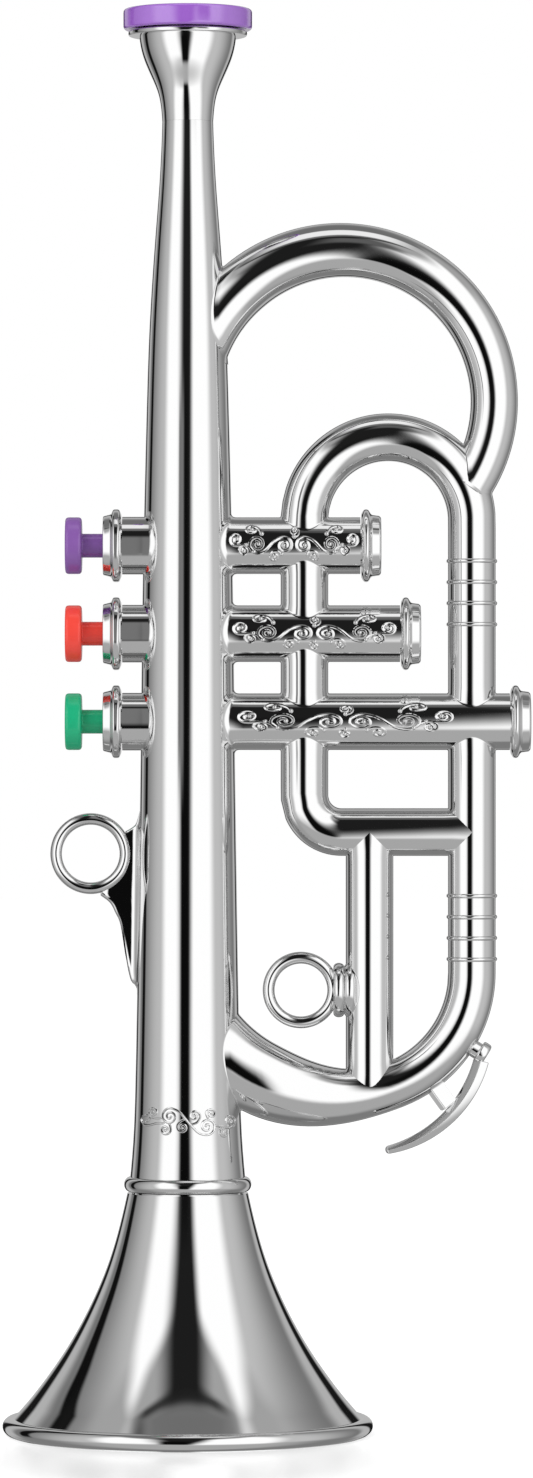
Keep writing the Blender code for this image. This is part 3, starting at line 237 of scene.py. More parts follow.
# %% [markdown]
# The dome is painted like a room: first the grey wall, then ceiling and table, then the soft boxes
# over them. A panel is a patch of directions with soft edges. Azimuth 0 is the camera and + is its
# right, elevation 0 is level. The edges of the boxes lean and their tops rise to the sides, because
# the real boxes stand slanted at the sides of the table.

# %% Panels of the dome
# Each panel: from and to azimuth with the softness of both edges, from and to elevation with theirs,
# the same on both sides or not, lean of its sides, rise of its top, and its brightness.
PANELS = {
    "left_wall": (-94, 60, 0, 2, -36, 24, 50, 12, False, 0.0, 0.0, 0.58),
    "right_wall": (0, 2, 104, 60, -36, 24, 50, 12, False, 0.0, 0.0, 0.6),
    "rear_wall": (134, 12, 200, 2, -50, 30, 52, 20, True, 0.0, 0.0, 0.5),
    "upper_wall": (-108, 24, 112, 40, 43, 10, 62, 6, False, 0.0, 0.0, 0.42),
    "ceiling": (-1, 1, 200, 2, 64, 12, 100, 2, True, 0.0, 0.0, 0.18),
    "table": (-1, 1, 200, 2, -100, 2, -36, 16, True, 0.0, 0.0, 0.23),
    "table_front": (-78, 60, 82, 60, -100, 2, -30, 10, False, 0.0, 0.0, 0.45),
    "ceiling_gap": (-66, 30, 54, 40, 58, 3, 62, 4, False, 0.0, 0.0, 0.05),
    "camera_side": (-30, 28, 24, 26, -26, 8, 62, 8, False, 0.0, 0.0, 0.014),
    "left_box": (-58, 18, -18, 23, -25, 20, 31, 10, False, -0.2, 0.34, 1.2),
    "right_box": (9, 14, 60, 20, -30, 18, 32, 10, False, 0.2, 0.38, 1.2),
    "camera_board": (-16, 7, 2, 8, -28, 8, 14, 18, False, 0.0, 0.0, 0.004),
    "left_board": (-124, 4, -112, 5, -30, 12, 62, 8, False, 0.0, 0.0, 0.006),
    "left_rear_board": (-136, 8, -114, 6, 25, 10, 60, 10, False, 0.0, 0.0, 0.01),
}
# Dark frame behind: from and to degrees off the rear, the softness of both, and its brightness
REAR_RING = (21.0, 33.0, 5.0, 0.01)
DOME_R = 0.7
DOME_CENTRE = (-20.5 * MM, 0.0, CAMERA_HEIGHT)
WALL_GREY = 0.2


def mirror_piece(name, data, finish_name):
    """Add a piece of the studio that mirrors alone can see, and hand back its empty tree."""
    piece = add_piece(name, data)
    for ray in ("camera", "diffuse", "transmission", "shadow"):
        setattr(piece, "visible_" + ray, False)
    piece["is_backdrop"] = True
    finish = bpy.data.materials.new(finish_name)
    finish.use_nodes = True
    finish.node_tree.nodes.clear()
    data.materials.append(finish)
    return finish.node_tree


def between(tree, *edges):
    """One past the first edge and zero past the second, each edge as its value, place and softness."""
    passed = [add_node(tree, RANGE, {"Value": value, "From Min": edge - soft / 2, "From Max": edge + soft / 2},
                       interpolation_type="SMOOTHSTEP") for value, edge, soft in edges]
    return add_node(tree, MATH, passed, operation="SUBTRACT")


dome_data = bpy.data.meshes.new("mirror_dome")
shell = bmesh.new()
bmesh.ops.create_uvsphere(shell, u_segments=96, v_segments=48, radius=DOME_R,
                          matrix=Matrix.Translation(DOME_CENTRE))
shell.to_mesh(dome_data)
shell.free()
tree = mirror_piece("mirror_dome", dome_data, "soft_boxes_and_boards")

# %% Paint the dome
spot = add_node(tree, "ShaderNodeVectorMath", [add_node(tree, "ShaderNodeTexCoord").outputs["Object"], DOME_CENTRE],
                operation="SUBTRACT")
unit = add_node(tree, "ShaderNodeVectorMath", [spot], operation="NORMALIZE")
way = add_node(tree, "ShaderNodeSeparateXYZ", [unit]).outputs
front = add_node(tree, MATH, [way["Y"], -1.0], operation="MULTIPLY")
azimuth, elevation, off_rear = (
    add_node(tree, MATH, [add_node(tree, MATH, feeds, operation=operation)], operation="DEGREES")
    for operation, feeds in (("ARCTAN2", [way["X"], front]), ("ARCSINE", [way["Z"]]), ("ARCCOSINE", [way["Y"]])))
sideways = add_node(tree, MATH, [azimuth], operation="ABSOLUTE")
light = WALL_GREY
for west, west_soft, east, east_soft, low, low_soft, high, high_soft, both, lean, rise, level in PANELS.values():
    across = add_node(tree, MATH, [elevation, -lean, sideways if both else azimuth], operation="MULTIPLY_ADD")
    height = add_node(tree, MATH, [sideways, -rise, elevation], operation="MULTIPLY_ADD")
    patch = add_node(tree, MATH, [between(tree, (across, west, west_soft), (across, east, east_soft)),
                                  between(tree, (elevation, low, low_soft), (height, high, high_soft))],
                     operation="MULTIPLY")
    light = add_node(tree, "ShaderNodeMix", {"Factor": patch, "A": light, "B": level})
ring_low, ring_high, ring_soft, ring_level = REAR_RING
ring = between(tree, (off_rear, ring_low, ring_soft), (off_rear, ring_high, ring_soft))
light = add_node(tree, "ShaderNodeMix", {"Factor": ring, "A": light, "B": ring_level})
add_node(tree, "ShaderNodeOutputMaterial", [add_node(tree, "ShaderNodeEmission", {"Strength": light})])
print("dome panels:", len(PANELS))

# %% [markdown]
# The level casings and the tops of the bows carry a thin white line along their upper side, while
# the foot of the bell, which looks at the same ceiling, is grey. So the light that makes the line is
# near: a card that hangs just above the trumpet. Two grey ones stand close before it, because the
# bows and the key sockets are paler than the casings although they look the same way.

# %% Hang the near cards
CARDS = {                       # middle, half sizes with nothing across the card, softness each way, brightness
    "top_card": ((0.02, -0.048, 0.5), (0.16, 0.058, 0.0), (0.11, 0.022), 1.0),
    "bow_card": ((0.039, -0.11, 0.398), (0.044, 0.0, 0.045), (0.03, 0.03), 0.12),
    "socket_card": ((-0.04, -0.07, 0.224), (0.0115, 0.0, 0.064), (0.007, 0.024), 0.2),
}
for name, (middle, halves, soft, glow) in CARDS.items():
    sides = [axis for axis in range(3) if halves[axis]]
    data = bpy.data.meshes.new(name)
    data.from_pydata([[middle[axis] + halves[axis] * (corner[sides.index(axis)] if axis in sides else 0)
                       for axis in range(3)] for corner in SQUARE], [], [(0, 1, 2, 3)])
    tree = mirror_piece(name, data, "backlit_" + name)
    place = add_node(tree, "ShaderNodeSeparateXYZ", [add_node(tree, "ShaderNodeTexCoord").outputs["Object"]]).outputs
    lit = 1.0
    for axis, fade in zip(sides, soft):
        edge = halves[axis] - fade / 2
        patch = between(tree, (place[axis], middle[axis] - edge, fade), (place[axis], middle[axis] + edge, fade))
        lit = add_node(tree, MATH, [lit, patch], operation="MULTIPLY")
    shine = add_node(tree, "ShaderNodeEmission", {"Strength": glow})
    mixed = add_node(tree, "ShaderNodeMixShader", [lit, add_node(tree, "ShaderNodeBsdfTransparent"), shine])
    add_node(tree, "ShaderNodeOutputMaterial", [mixed])
print("near cards:", ", ".join(CARDS))

# %% [markdown]
# ## Finishes
#
# The tubes are moulded ABS with a coat of chromium laid on in a vacuum: a true mirror, but on
# plastic, so its skin waves very slightly and hazes a little from handling. The keys and the lip
# ring are glossy moulded plastic with their colour right through, which drifts a little.

# %% Plated and moulded finishes
HAZE_SIZE = 30 * MM             # of its patches
WAVE_SIZE = 14 * MM
WAVE_DEPTH = 0.012 * MM
TINT_SIZE = 6 * MM
PEEL_SIZE = 1.2 * MM
PEEL_DEPTH = 0.02 * MM
PLASTIC_IOR = 1.54
LACQUER_IOR = 1.9
LACQUER_ROUGHNESS = 0.06
MIX_A, MIX_B, MIX_RESULT = 6, 7, 2   # places of a Mix node's colour sockets, whose names others have too


def plated(name, colour, low_roughness, high_roughness):
    """Vacuum-plated ABS: metal that hazes unevenly and follows the slight waves of the moulding."""
    material, tree, shader = new_finish(name)
    on_piece = add_node(tree, "ShaderNodeTexCoord").outputs["Object"]
    haze = add_node(tree, NOISE, {"Vector": on_piece, "Scale": 1 / HAZE_SIZE, "Detail": 2.0})
    roughness = add_node(tree, RANGE, {"Value": haze, "From Min": 0.3, "From Max": 0.7, "To Min": low_roughness,
                                       "To Max": high_roughness})
    waves = add_node(tree, NOISE, {"Vector": on_piece, "Scale": 1 / WAVE_SIZE, "Detail": 2.0})
    bump = add_node(tree, "ShaderNodeBump", {"Height": waves, "Strength": 1.0, "Distance": WAVE_DEPTH})
    connect(tree, shader, {"Base Color": linear(colour), "Metallic": 1.0, "Roughness": roughness, "Normal": bump})
    return material


def moulded(name, colour, deep_colour, roughness, lacquer=0.0):
    """Glossy moulded plastic, coloured through: its tint drifts slightly and its skin has a fine peel."""
    material, tree, shader = new_finish(name)
    on_piece = add_node(tree, "ShaderNodeTexCoord").outputs["Object"]
    drift = add_node(tree, NOISE, {"Vector": on_piece, "Scale": 1 / TINT_SIZE, "Detail": 2.0})
    tint = add_node(tree, "ShaderNodeMix", {"Factor": drift, MIX_A: linear(colour), MIX_B: linear(deep_colour)},
                    data_type="RGBA")
    peel = add_node(tree, NOISE, {"Vector": on_piece, "Scale": 1 / PEEL_SIZE, "Detail": 2.0})
    bump = add_node(tree, "ShaderNodeBump", {"Height": peel, "Strength": 0.4, "Distance": PEEL_DEPTH})
    connect(tree, shader, {"Base Color": tint.outputs[MIX_RESULT], "Roughness": roughness, "IOR": PLASTIC_IOR,
                           "Coat Weight": lacquer, "Coat IOR": LACQUER_IOR, "Coat Roughness": LACQUER_ROUGHNESS,
                           "Normal": bump})
    return material


# Plated ABS is a mirror, while rolled brass and drawn steel shine more softly
CHROME = plated("vacuum_plated_abs", "#ebebeb", 0.025, 0.05)
BRASS = plated("rolled_reed_brass", "#cfa858", 0.22, 0.32)
STEEL = plated("drawn_spring_steel", "#b9bcc0", 0.18, 0.28)
# The lip ring has a hard bright lacquer, the keys the plainer gloss that the mould gave them. The purple
# key is the lip ring's plastic in darker colours, which paint shade on it
PURPLE = moulded("purple_moulded_abs", "#a066cc", "#985ec6", 0.16, lacquer=1.0)
SHADED_PURPLE = moulded("plum_moulded_abs", "#875ba6", "#7d529c", 0.22)
RED = moulded("red_moulded_abs", "#f04a3c", "#e8443a", 0.22)
GREEN = moulded("green_moulded_abs", "#1cb07c", "#12a474", 0.22)
# The inner works are plain: polystyrene with a dull sheen, and rubber that hardly shines
IVORY = moulded("ivory_moulded_polystyrene", "#e2d8bd", "#dbd0b2", 0.5)
RUBBER = moulded("black_seal_rubber", "#1d1d1e", "#161617", 0.75)
print("finishes:", len(bpy.data.materials))

# %% [markdown]
# ## Turned pieces by Geometry Nodes
#
# Bell, main tube, mouthpiece, caps and keys are all round, so one rule makes them: an outline, turned
# about an axis. A Screw modifier could do it, but the two-part mouldings also have a fine seam where
# their halves are glued. So a node tree lays a grid of outline points by columns, bends it round the
# axis, crowds its columns near the seam and presses a hairline groove there.

# %% Lathe tree
SEAM_DEPTH = 0.09 * MM
SEAM_WIDTH = 0.13 * MM
SEAM_CROWDING = 0.92            # share by which the columns draw together at the seam
WELD = 0.001 * MM


def new_tree(name, **sockets):
    """Start a geometry tree with named inputs, and hand it back with them."""
    tree = bpy.data.node_groups.new(name, "GeometryNodeTree")
    tree.interface.new_socket("Geometry", in_out="INPUT", socket_type="NodeSocketGeometry")
    for label, kind in (*sockets.items(), ("material", "Material")):
        tree.interface.new_socket(label.replace("_", " ").capitalize(), in_out="INPUT",
                                  socket_type="NodeSocket" + kind)
    tree.interface.new_socket("Geometry", in_out="OUTPUT", socket_type="NodeSocketGeometry")
    return tree, add_node(tree, "NodeGroupInput").outputs


def end_tree(tree, given, geometry):
    """Realize instances and set the material, because the export drops what is left as instances."""
    real = add_node(tree, "GeometryNodeRealizeInstances", [geometry])
    painted = add_node(tree, "GeometryNodeSetMaterial", {"Geometry": real, "Material": given["Material"]})
    add_node(tree, "NodeGroupOutput", [painted])
    return tree


def spin(tree, radius, angle, height):
    """Place at an angle round the Z axis, counted from X."""
    flat = [add_node(tree, MATH, [radius, add_node(tree, MATH, [angle], operation=operation)], operation="MULTIPLY")
            for operation in ("COSINE", "SINE")]
    return add_node(tree, "ShaderNodeCombineXYZ", [*flat, height])


def lathe_tree():
    """Turn the points of an outline, read as radius and height, about the Z axis."""
    tree, given = new_tree("turn_on_a_lathe", columns="Int", crowding="Float", groove_depth="Float",
                           groove_width="Float")
    rows = add_node(tree, "GeometryNodeAttributeDomainSize", [given["Geometry"]]).outputs["Point Count"]
    grid = add_node(tree, "GeometryNodeMeshGrid", {
        "Vertices X": add_node(tree, MATH, [given["Columns"], 1.0], operation="ADD"), "Vertices Y": rows})
    index = add_node(tree, "GeometryNodeInputIndex")
    halfway = add_node(tree, MATH, [index, 0.5], operation="ADD")
    column = add_node(tree, MATH, [add_node(tree, MATH, [halfway, rows], operation="DIVIDE")], operation="FLOOR")
    passed = add_node(tree, MATH, [column, rows], operation="MULTIPLY")
    spot = add_node(tree, "GeometryNodeSampleIndex", {
        "Geometry": given["Geometry"], "Value": add_node(tree, "GeometryNodeInputPosition"),
        "Index": add_node(tree, MATH, [index, passed], operation="SUBTRACT")}, data_type="FLOAT_VECTOR")
    outline = add_node(tree, "ShaderNodeSeparateXYZ", [spot]).outputs
    share = add_node(tree, MATH, [column, given["Columns"]], operation="DIVIDE")
    even = add_node(tree, MATH, [share, math.tau], operation="MULTIPLY")
    twice = add_node(tree, MATH, [add_node(tree, MATH, [even, 2.0], operation="MULTIPLY")], operation="SINE")
    half = add_node(tree, MATH, [given["Crowding"], 0.5], operation="MULTIPLY")
    drawn = add_node(tree, MATH, [twice, half], operation="MULTIPLY")
    angle = add_node(tree, MATH, [even, drawn], operation="SUBTRACT")
    beside_seam = add_node(tree, MATH, [outline["X"], add_node(tree, MATH, [angle], operation="SINE")],
                           operation="MULTIPLY")
    off_seam = add_node(tree, MATH, [beside_seam, given["Groove width"]], operation="DIVIDE")
    squared = add_node(tree, MATH, [off_seam, off_seam], operation="MULTIPLY")
    fading = add_node(tree, MATH, [add_node(tree, MATH, [squared, -1.0], operation="MULTIPLY")], operation="EXPONENT")
    groove = add_node(tree, MATH, [given["Groove depth"], fading], operation="MULTIPLY")
    pressed = add_node(tree, MATH, [outline["X"], groove], operation="SUBTRACT")
    radius = add_node(tree, MATH, [pressed, 0.0], operation="MAXIMUM")
    bent = add_node(tree, "GeometryNodeSetPosition", {"Geometry": grid,
                                                      "Position": spin(tree, radius, angle, outline["Z"])})
    welded = add_node(tree, "GeometryNodeMergeByDistance", {"Geometry": bent, "Distance": WELD})
    return end_tree(tree, given, welded)


LATHE = lathe_tree()
print("lathe tree:", len(LATHE.nodes), "nodes")

# %% Run a tree and finish its mesh
SHARP_EDGE = 38.0               # degrees between two faces that make an edge and not a curve
SPECK = 0.0001 * MM             # an edge that is shorter is closed
UP, RIGHT, BACK = Vector((0.0, 0.0, 1.0)), Vector((1.0, 0.0, 0.0)), Vector((0.0, 1.0, 0.0))


def finish_mesh(name, data, material=None):
    """Turn the faces outwards, shade the mesh smooth apart from its edges, and make its object."""
    mesh = bmesh.new()
    mesh.from_mesh(data)
    bmesh.ops.dissolve_degenerate(mesh, edges=mesh.edges, dist=SPECK)
    bmesh.ops.recalc_face_normals(mesh, faces=mesh.faces)
    mesh.to_mesh(data)
    mesh.free()
    data.shade_smooth()
    data.set_sharp_from_angle(angle=math.radians(SHARP_EDGE))
    data.name = name
    if material:
        data.materials.append(material)
    return add_piece(name, data)


def grow(name, seed_data, tree, **inputs):
    """Run a geometry tree on some seed data and keep the result as a plain mesh."""
    seed = add_piece(name + "_seed", seed_data)
    modifier = seed.modifiers.new("grow", "NODES")
    modifier.node_group = tree
    for item in tree.interface.items_tree:
        label = item.name.lower().replace(" ", "_")
        if item.in_out == "INPUT" and label in inputs:
            modifier[item.identifier] = inputs[label]
    bpy.context.view_layer.update()
    data = bpy.data.meshes.new_from_object(seed.evaluated_get(bpy.context.evaluated_depsgraph_get()))
    bpy.data.objects.remove(seed)
    data.materials.clear()
    data.materials.append(inputs["material"])
    data.polygons.foreach_set("material_index", [0] * len(data.polygons))
    return data


def lie_along(axis, start):
    """Matrix that lays what stands on the Z axis along another axis from a point."""
    return Matrix.Translation(start) @ axis.to_track_quat("Z", "Y").to_matrix().to_4x4()


def turned(name, outline, centre, material=CHROME, axis=UP, columns=128, seam=False):
    """A turned piece from an outline of (radius, height), with its place in its mesh."""
    seed = bpy.data.meshes.new(name)
    seed.from_pydata([(radius, 0.0, height) for radius, height in (*outline, outline[0])], [], [])
    data = grow(name, seed, LATHE, columns=columns, crowding=SEAM_CROWDING * seam, groove_depth=SEAM_DEPTH * seam,
                groove_width=SEAM_WIDTH, material=material)
    data.transform(lie_along(axis, centre))
    return finish_mesh(name, data)


def gathered(name, *pieces):
    """Make one piece of several shells."""
    mesh = bmesh.new()
    for piece in pieces:
        mesh.from_mesh(piece.data)
        bpy.data.objects.remove(piece)
    data = bpy.data.meshes.new(name)
    mesh.to_mesh(data)
    mesh.free()
    return finish_mesh(name, data, CHROME)


def fit(piece, *nodes, slot="chrome_plate", body=TRUMPET):
    """Put a finished piece on its body, in the place of its CAD nodes."""
    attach(piece, body)
    if nodes:
        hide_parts(*nodes)
    print(f"{piece.name}: {len(piece.data.polygons)} faces")
    return piece


# %% [markdown]
# ## Outlines
#
# A moulder gives every corner a small radius, and on a mirror that radius is what catches the light.
# One helper rounds the corners of an outline, and another draws a smooth line through a few points
# that were measured on the real thing.

# %% Outline helpers
MOST_OF_A_SIDE = 0.49           # share of a side that the rounding of one corner may take


def held(share):
    """A share held between nothing and all."""
    return min(1.0, max(0.0, share))


def neighbours(line, index):
    """What stands before and after an entry of a line, or the entry itself at an end."""
    return line[max(0, index - 1)], line[min(len(line) - 1, index + 1)]


def rounded(corners, steps=5):
    """Round the corners of a closed outline, each given as (radius, height, rounding)."""
    outline = []
    for index, (across, along, rounding) in enumerate(corners):
        here = Vector((across, along))
        if not rounding:
            outline.append(tuple(here))
            continue
        before = Vector(corners[index - 1][:2]) - here
        after = Vector(corners[(index + 1) % len(corners)][:2]) - here
        back = min(rounding / math.tan(before.angle(after) / 2), MOST_OF_A_SIDE * before.length,
                   MOST_OF_A_SIDE * after.length)
        first = here + before.normalized() * back
        last = here + after.normalized() * back
        for share in (step / steps for step in range(steps + 1)):
            outline.append(tuple(first.lerp(here, share).lerp(here.lerp(last, share), share)))
    return outline


def eased(shares, share):
    """Read a table of shares with a smooth curve through its entries."""
    share = min(max(share, shares[0][0]), shares[-1][0])
    spot = next(index for index in range(len(shares) - 1) if share <= shares[index + 1][0])

    def slope(index):
        low, high = neighbours(shares, index)
        return (high[1] - low[1]) / (high[0] - low[0])

    (left, start), (right, end) = shares[spot], shares[spot + 1]
    span = right - left
    part = (share - left) / span
    return ((2 * part ** 3 - 3 * part ** 2 + 1) * start + (part ** 3 - 2 * part ** 2 + part) * span * slope(spot)
            + (3 * part ** 2 - 2 * part ** 3) * end + (part ** 3 - part ** 2) * span * slope(spot + 1))


def relaxed(shares, rounds, count=240):
    """The table as an even row of values, its slopes ironed out so that a mirror shows no waves."""
    row = [eased(shares, index / count) for index in range(count + 1)]
    steps = [after - before for before, after in zip(row, row[1:])]
    for _ in range(rounds):
        steps[1:-1] = [(low + 2 * middle + high) / 4 for low, middle, high in zip(steps, steps[1:], steps[2:])]
    share = (row[-1] - row[0]) / sum(steps)
    ironed = [row[0]]
    for step in steps:
        ironed.append(ironed[-1] + step * share)
    return ironed


def along_row(row, share):
    """Value of such a row at a share of its length."""
    spot = held(share) * (len(row) - 1)
    low = min(int(spot), len(row) - 2)
    return row[low] + (row[low + 1] - row[low]) * (spot - low)


def beside(outline, depth):
    """The same line moved sideways by a wall."""
    moved = []
    for index, (across, along) in enumerate(outline):
        before, after = neighbours(outline, index)
        run = Vector((after[0] - before[0], after[1] - before[1])).normalized()
        moved.append((across + run.y * depth, along - run.x * depth))
    return moved


def arc_points(centre, radius, start, end, steps):
    """Points of an arc, angles in degrees."""
    angles = [math.radians(start + (end - start) * step / steps) for step in range(steps + 1)]
    return [(centre[0] + radius * math.cos(angle), centre[1] + radius * math.sin(angle)) for angle in angles]


# %% [markdown]
# ## Main tube
#
# The long tapered tube carries everything else. It is two half shells glued on the middle plane,
# which leaves the seam. A cone could be scaled ring by ring, but a table of shares, from its wide
# foot above the bead ring to its narrow neck under the mouthpiece, is easier to measure and correct.

# %% Turn the main tube
X, Z = 0, 2                     # places in a point


def middle_of(node, axis):
    """Middle of a node's box along an axis."""
    low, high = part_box(node)
    return (low[axis] + high[axis]) / 2


bead_low, bead_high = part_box("bell_ring")
AXIS_X = middle_of("bell", X)
WALL = 1.6 * MM
FIT = 0.3 * MM
TUBE_FOOT_Z = bead_high.z
BEAD_Z = middle_of("bell_ring", Z)
NECK_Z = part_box("main_tube_front")[1].z
TUBE_FOOT_R = 14.95 * MM
SEAT_R = TUBE_FOOT_R - 0.75 * MM
NECK_R = 6.6 * MM
TUBE_RINGS = 150
TUBE_SHARES = [(0.0, 1.0), (0.025, 0.925), (0.055, 0.87), (0.17, 0.79), (0.36, 0.695), (0.56, 0.615),
               (0.66, 0.545), (0.75, 0.468), (0.80, 0.41), (0.85, 0.315), (0.90, 0.195), (0.94, 0.09),
               (0.98, 0.02), (1.0, 0.0)]
TUBE_ROW = relaxed(TUBE_SHARES, rounds=30)


def tube_radius(height):
    """Outer radius of the main tube at a height."""
    share = (height - TUBE_FOOT_Z) / (NECK_Z - TUBE_FOOT_Z)
    return NECK_R + (TUBE_FOOT_R - NECK_R) * along_row(TUBE_ROW, share)


def main_tube():
    """The whole tube in one skin, its foot stepped in under the bead ring."""
    heights = [TUBE_FOOT_Z + (NECK_Z - TUBE_FOOT_Z) * ring / TUBE_RINGS for ring in range(TUBE_RINGS + 1)]
    outer = [(tube_radius(height), height) for height in heights]
    inner = [(radius - WALL, height) for radius, height in outer[::-3]]
    foot = [(inner[-1][0], BEAD_Z), (SEAT_R, BEAD_Z), (SEAT_R, TUBE_FOOT_Z)]
    return turned("plated_main_tube", [*outer, *inner, *foot], (AXIS_X, 0.0, 0.0), columns=192, seam=True)


fit(main_tube(), "main_tube_front", "main_tube_rear")

# %% [markdown]
# ## Bell
#
# The bell flares like an opened flower and ends in a rolled edge, which stiffens the rim and keeps
# it kind to fingers. It is one moulding with a thin wall. A Solidify modifier would hollow the rolled
# rim too, so the outline runs down the outside and back up the inside instead. A half-round bead
# hides the joint with the tube.

# %% Turn the bell and its bead
RIM_BEAD_R = 2.2 * MM
RIM_FLAT = 1.4 * MM
RIM_STARTS = 112.0              # degrees on the rolled edge where the flare runs into it
RIM_ENDS = 164.0                # and where the lining does
BELL_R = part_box("bell")[1].x - AXIS_X
BELL_NECK_R = 15.7 * MM
FLARE_FOOT_R = 42.7 * MM
FLARE_FOOT_Z = 7.0 * MM
FLARE_RINGS = 90
SLEEVE_L = 10.0 * MM
JOINT_STEPS = 24                # round the half of the bead that is seen
FLARE_SHARES = [(0.0, 0.0), (0.12, 0.055), (0.22, 0.11), (0.31, 0.167), (0.40, 0.237), (0.49, 0.32),
                (0.585, 0.415), (0.68, 0.525), (0.77, 0.64), (0.86, 0.775), (0.95, 0.91), (1.0, 1.0)]


def share_line(row, count, start, end):
    """Points from one (radius, height) to another, the radius as a relaxed row gives it."""
    return [(start[0] + (end[0] - start[0]) * along_row(row, index / count),
             start[1] + (end[1] - start[1]) * (index / count)) for index in range(count + 1)]


def bell():
    """Flare, rolled rim with the flat ring that it stands on, and the sleeve up into the tube."""
    neck_z = bead_low.z - FIT
    row = relaxed(FLARE_SHARES, rounds=500)
    flare = share_line(row, FLARE_RINGS, (BELL_NECK_R, neck_z), (FLARE_FOOT_R, FLARE_FOOT_Z))
    centre = (BELL_R - RIM_BEAD_R, RIM_BEAD_R)
    flat_angle = math.degrees(math.acos(RIM_FLAT / 2 / RIM_BEAD_R))
    rim = arc_points(centre, RIM_BEAD_R, RIM_STARTS, -flat_angle, 26)
    rim += [(centre[0] + RIM_FLAT / 2, 0.0), (centre[0] - RIM_FLAT / 2, 0.0)]
    rim += arc_points(centre, RIM_BEAD_R, 180.0 + flat_angle, RIM_ENDS, 8)
    sleeve_r = tube_radius(TUBE_FOOT_Z + SLEEVE_L) - WALL - FIT
    sleeve = [(sleeve_r - WALL, BEAD_Z - (bead_high.z - bead_low.z)), (sleeve_r - WALL, BEAD_Z + SLEEVE_L),
              (sleeve_r, BEAD_Z + SLEEVE_L), (sleeve_r, BEAD_Z - FIT / 2), (SEAT_R, BEAD_Z - FIT / 2), (SEAT_R, neck_z)]
    outline = [*flare, *rim, *beside(flare[::3], WALL)[:0:-1], *sleeve]
    return turned("plated_bell", outline, (AXIS_X, 0.0, 0.0), columns=192)


def bead_ring():
    """Half-round bead over the joint."""
    half = (bead_high.z - bead_low.z) / 2
    bulge = (bead_high.x - bead_low.x) / 2 - TUBE_FOOT_R
    angles = [math.pi / 2 - math.pi * step / JOINT_STEPS for step in range(JOINT_STEPS + 1)]
    round_side = [(TUBE_FOOT_R + bulge * math.cos(angle), half * math.sin(angle)) for angle in angles]
    outline = [(SEAT_R + FIT, half), *round_side, (SEAT_R + FIT, -half)]
    return turned("joint_bead", outline, (AXIS_X, 0.0, BEAD_Z), columns=160)


fit(bell(), "bell")
fit(bead_ring(), "bell_ring")

# %% [markdown]
# ## Mouthpiece
#
# The cup swells from the neck to a thin flange, and a coloured ring of softer-looking plastic lies on
# it for the lips. The cup's outline is again a table of shares. The ring is a plain section with
# well rounded edges.

# %% Turn the cup and the lip ring
CUP_SHARES = [(0.0, 0.0), (0.11, 0.03), (0.23, 0.085), (0.35, 0.195), (0.465, 0.37), (0.58, 0.565),
              (0.70, 0.755), (0.815, 0.89), (0.93, 0.975), (1.0, 1.0)]
CUP_RINGS = 48
CUP_R = 12.55 * MM
CUP_FLANGE_R = 15.4 * MM
CUP_FLANGE_T = 1.3 * MM
CUP_MOUTH_R = 10.9 * MM
CUP_DEPTH = 11.0 * MM
THROAT_R = 2.6 * MM
LIP_BORE_R = 9.4 * MM
LIP_EDGE = 1.0 * MM
LIP_ROUND = 2.2 * MM
SPIGOT_L = 2.6 * MM
HAIRLINE = 0.02 * MM            # pressed home, the cup leaves no more gap than this
cup_low, cup_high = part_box("mouthpiece_cup")
lip_low, lip_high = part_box("mouthpiece_rim")


def mouthpiece_cup():
    """Cup with its bowl, throat and shank."""
    flange_foot = cup_high.z - CUP_FLANGE_T
    cup_foot = NECK_Z + HAIRLINE
    wall = share_line(relaxed(CUP_SHARES, rounds=200), CUP_RINGS, (NECK_R, cup_foot), (CUP_R, flange_foot))
    flange = rounded([(CUP_R, flange_foot, 0.0), (CUP_FLANGE_R, flange_foot, 0.5 * MM),
                      (CUP_FLANGE_R, cup_high.z, 0.5 * MM), (CUP_MOUTH_R, cup_high.z, 0.0)])[1:]
    bowl_top = cup_high.z - SPIGOT_L - FIT
    bowl = [(THROAT_R + (CUP_MOUTH_R - THROAT_R) * math.sin(math.radians(angle)),
             bowl_top - CUP_DEPTH * math.cos(math.radians(angle))) for angle in range(90, -1, -5)]
    shank_r = NECK_R - WALL - FIT
    shank = [(THROAT_R, cup_low.z), (shank_r, cup_low.z), (shank_r, cup_foot)]
    return turned("plated_cup", [*wall, *flange, *bowl, *shank], (AXIS_X, 0.0, 0.0))


def lip_ring():
    """Coloured ring with a spigot that seats in the cup's mouth."""
    radius = (lip_high.x - lip_low.x) / 2
    foot = cup_high.z + FIT
    spigot_r = CUP_MOUTH_R - FIT
    outline = rounded([(radius, lip_high.z, LIP_EDGE), (radius, foot, LIP_EDGE), (spigot_r, foot, 0.0),
                       (spigot_r, lip_low.z, 0.3 * MM), (LIP_BORE_R, lip_low.z, 0.3 * MM),
                       (LIP_BORE_R, lip_high.z, LIP_ROUND)], steps=8)
    return turned("lip_ring", outline, (AXIS_X, 0.0, 0.0), PURPLE)


fit(mouthpiece_cup(), "mouthpiece_cup")
fit(lip_ring(), "mouthpiece_rim", slot="purple_plastic")

# %% [markdown]
# ## Bent tubes that meet cleanly
#
# Where one tube runs into another, a mirror shows every fault of the joint. A Boolean would leave
# long thin triangles and smudged reflections. So each tube is laid out as straight columns that
# follow its route, and every column stops exactly where it meets the skin of its neighbour. A small
# fillet, as from a mould, turns the end of the column out along that skin.

# %% Routes of the tubes
BEND_DEGREES = 3.0              # between the rings of a bend
STRAIGHT_STEP = 4.0 * MM        # between the rings of a straight stretch


def on_axis(x, z, y=0.0):
    """Point at a distance from the main tube's axis and a height."""
    return Vector((AXIS_X + x, y, z))


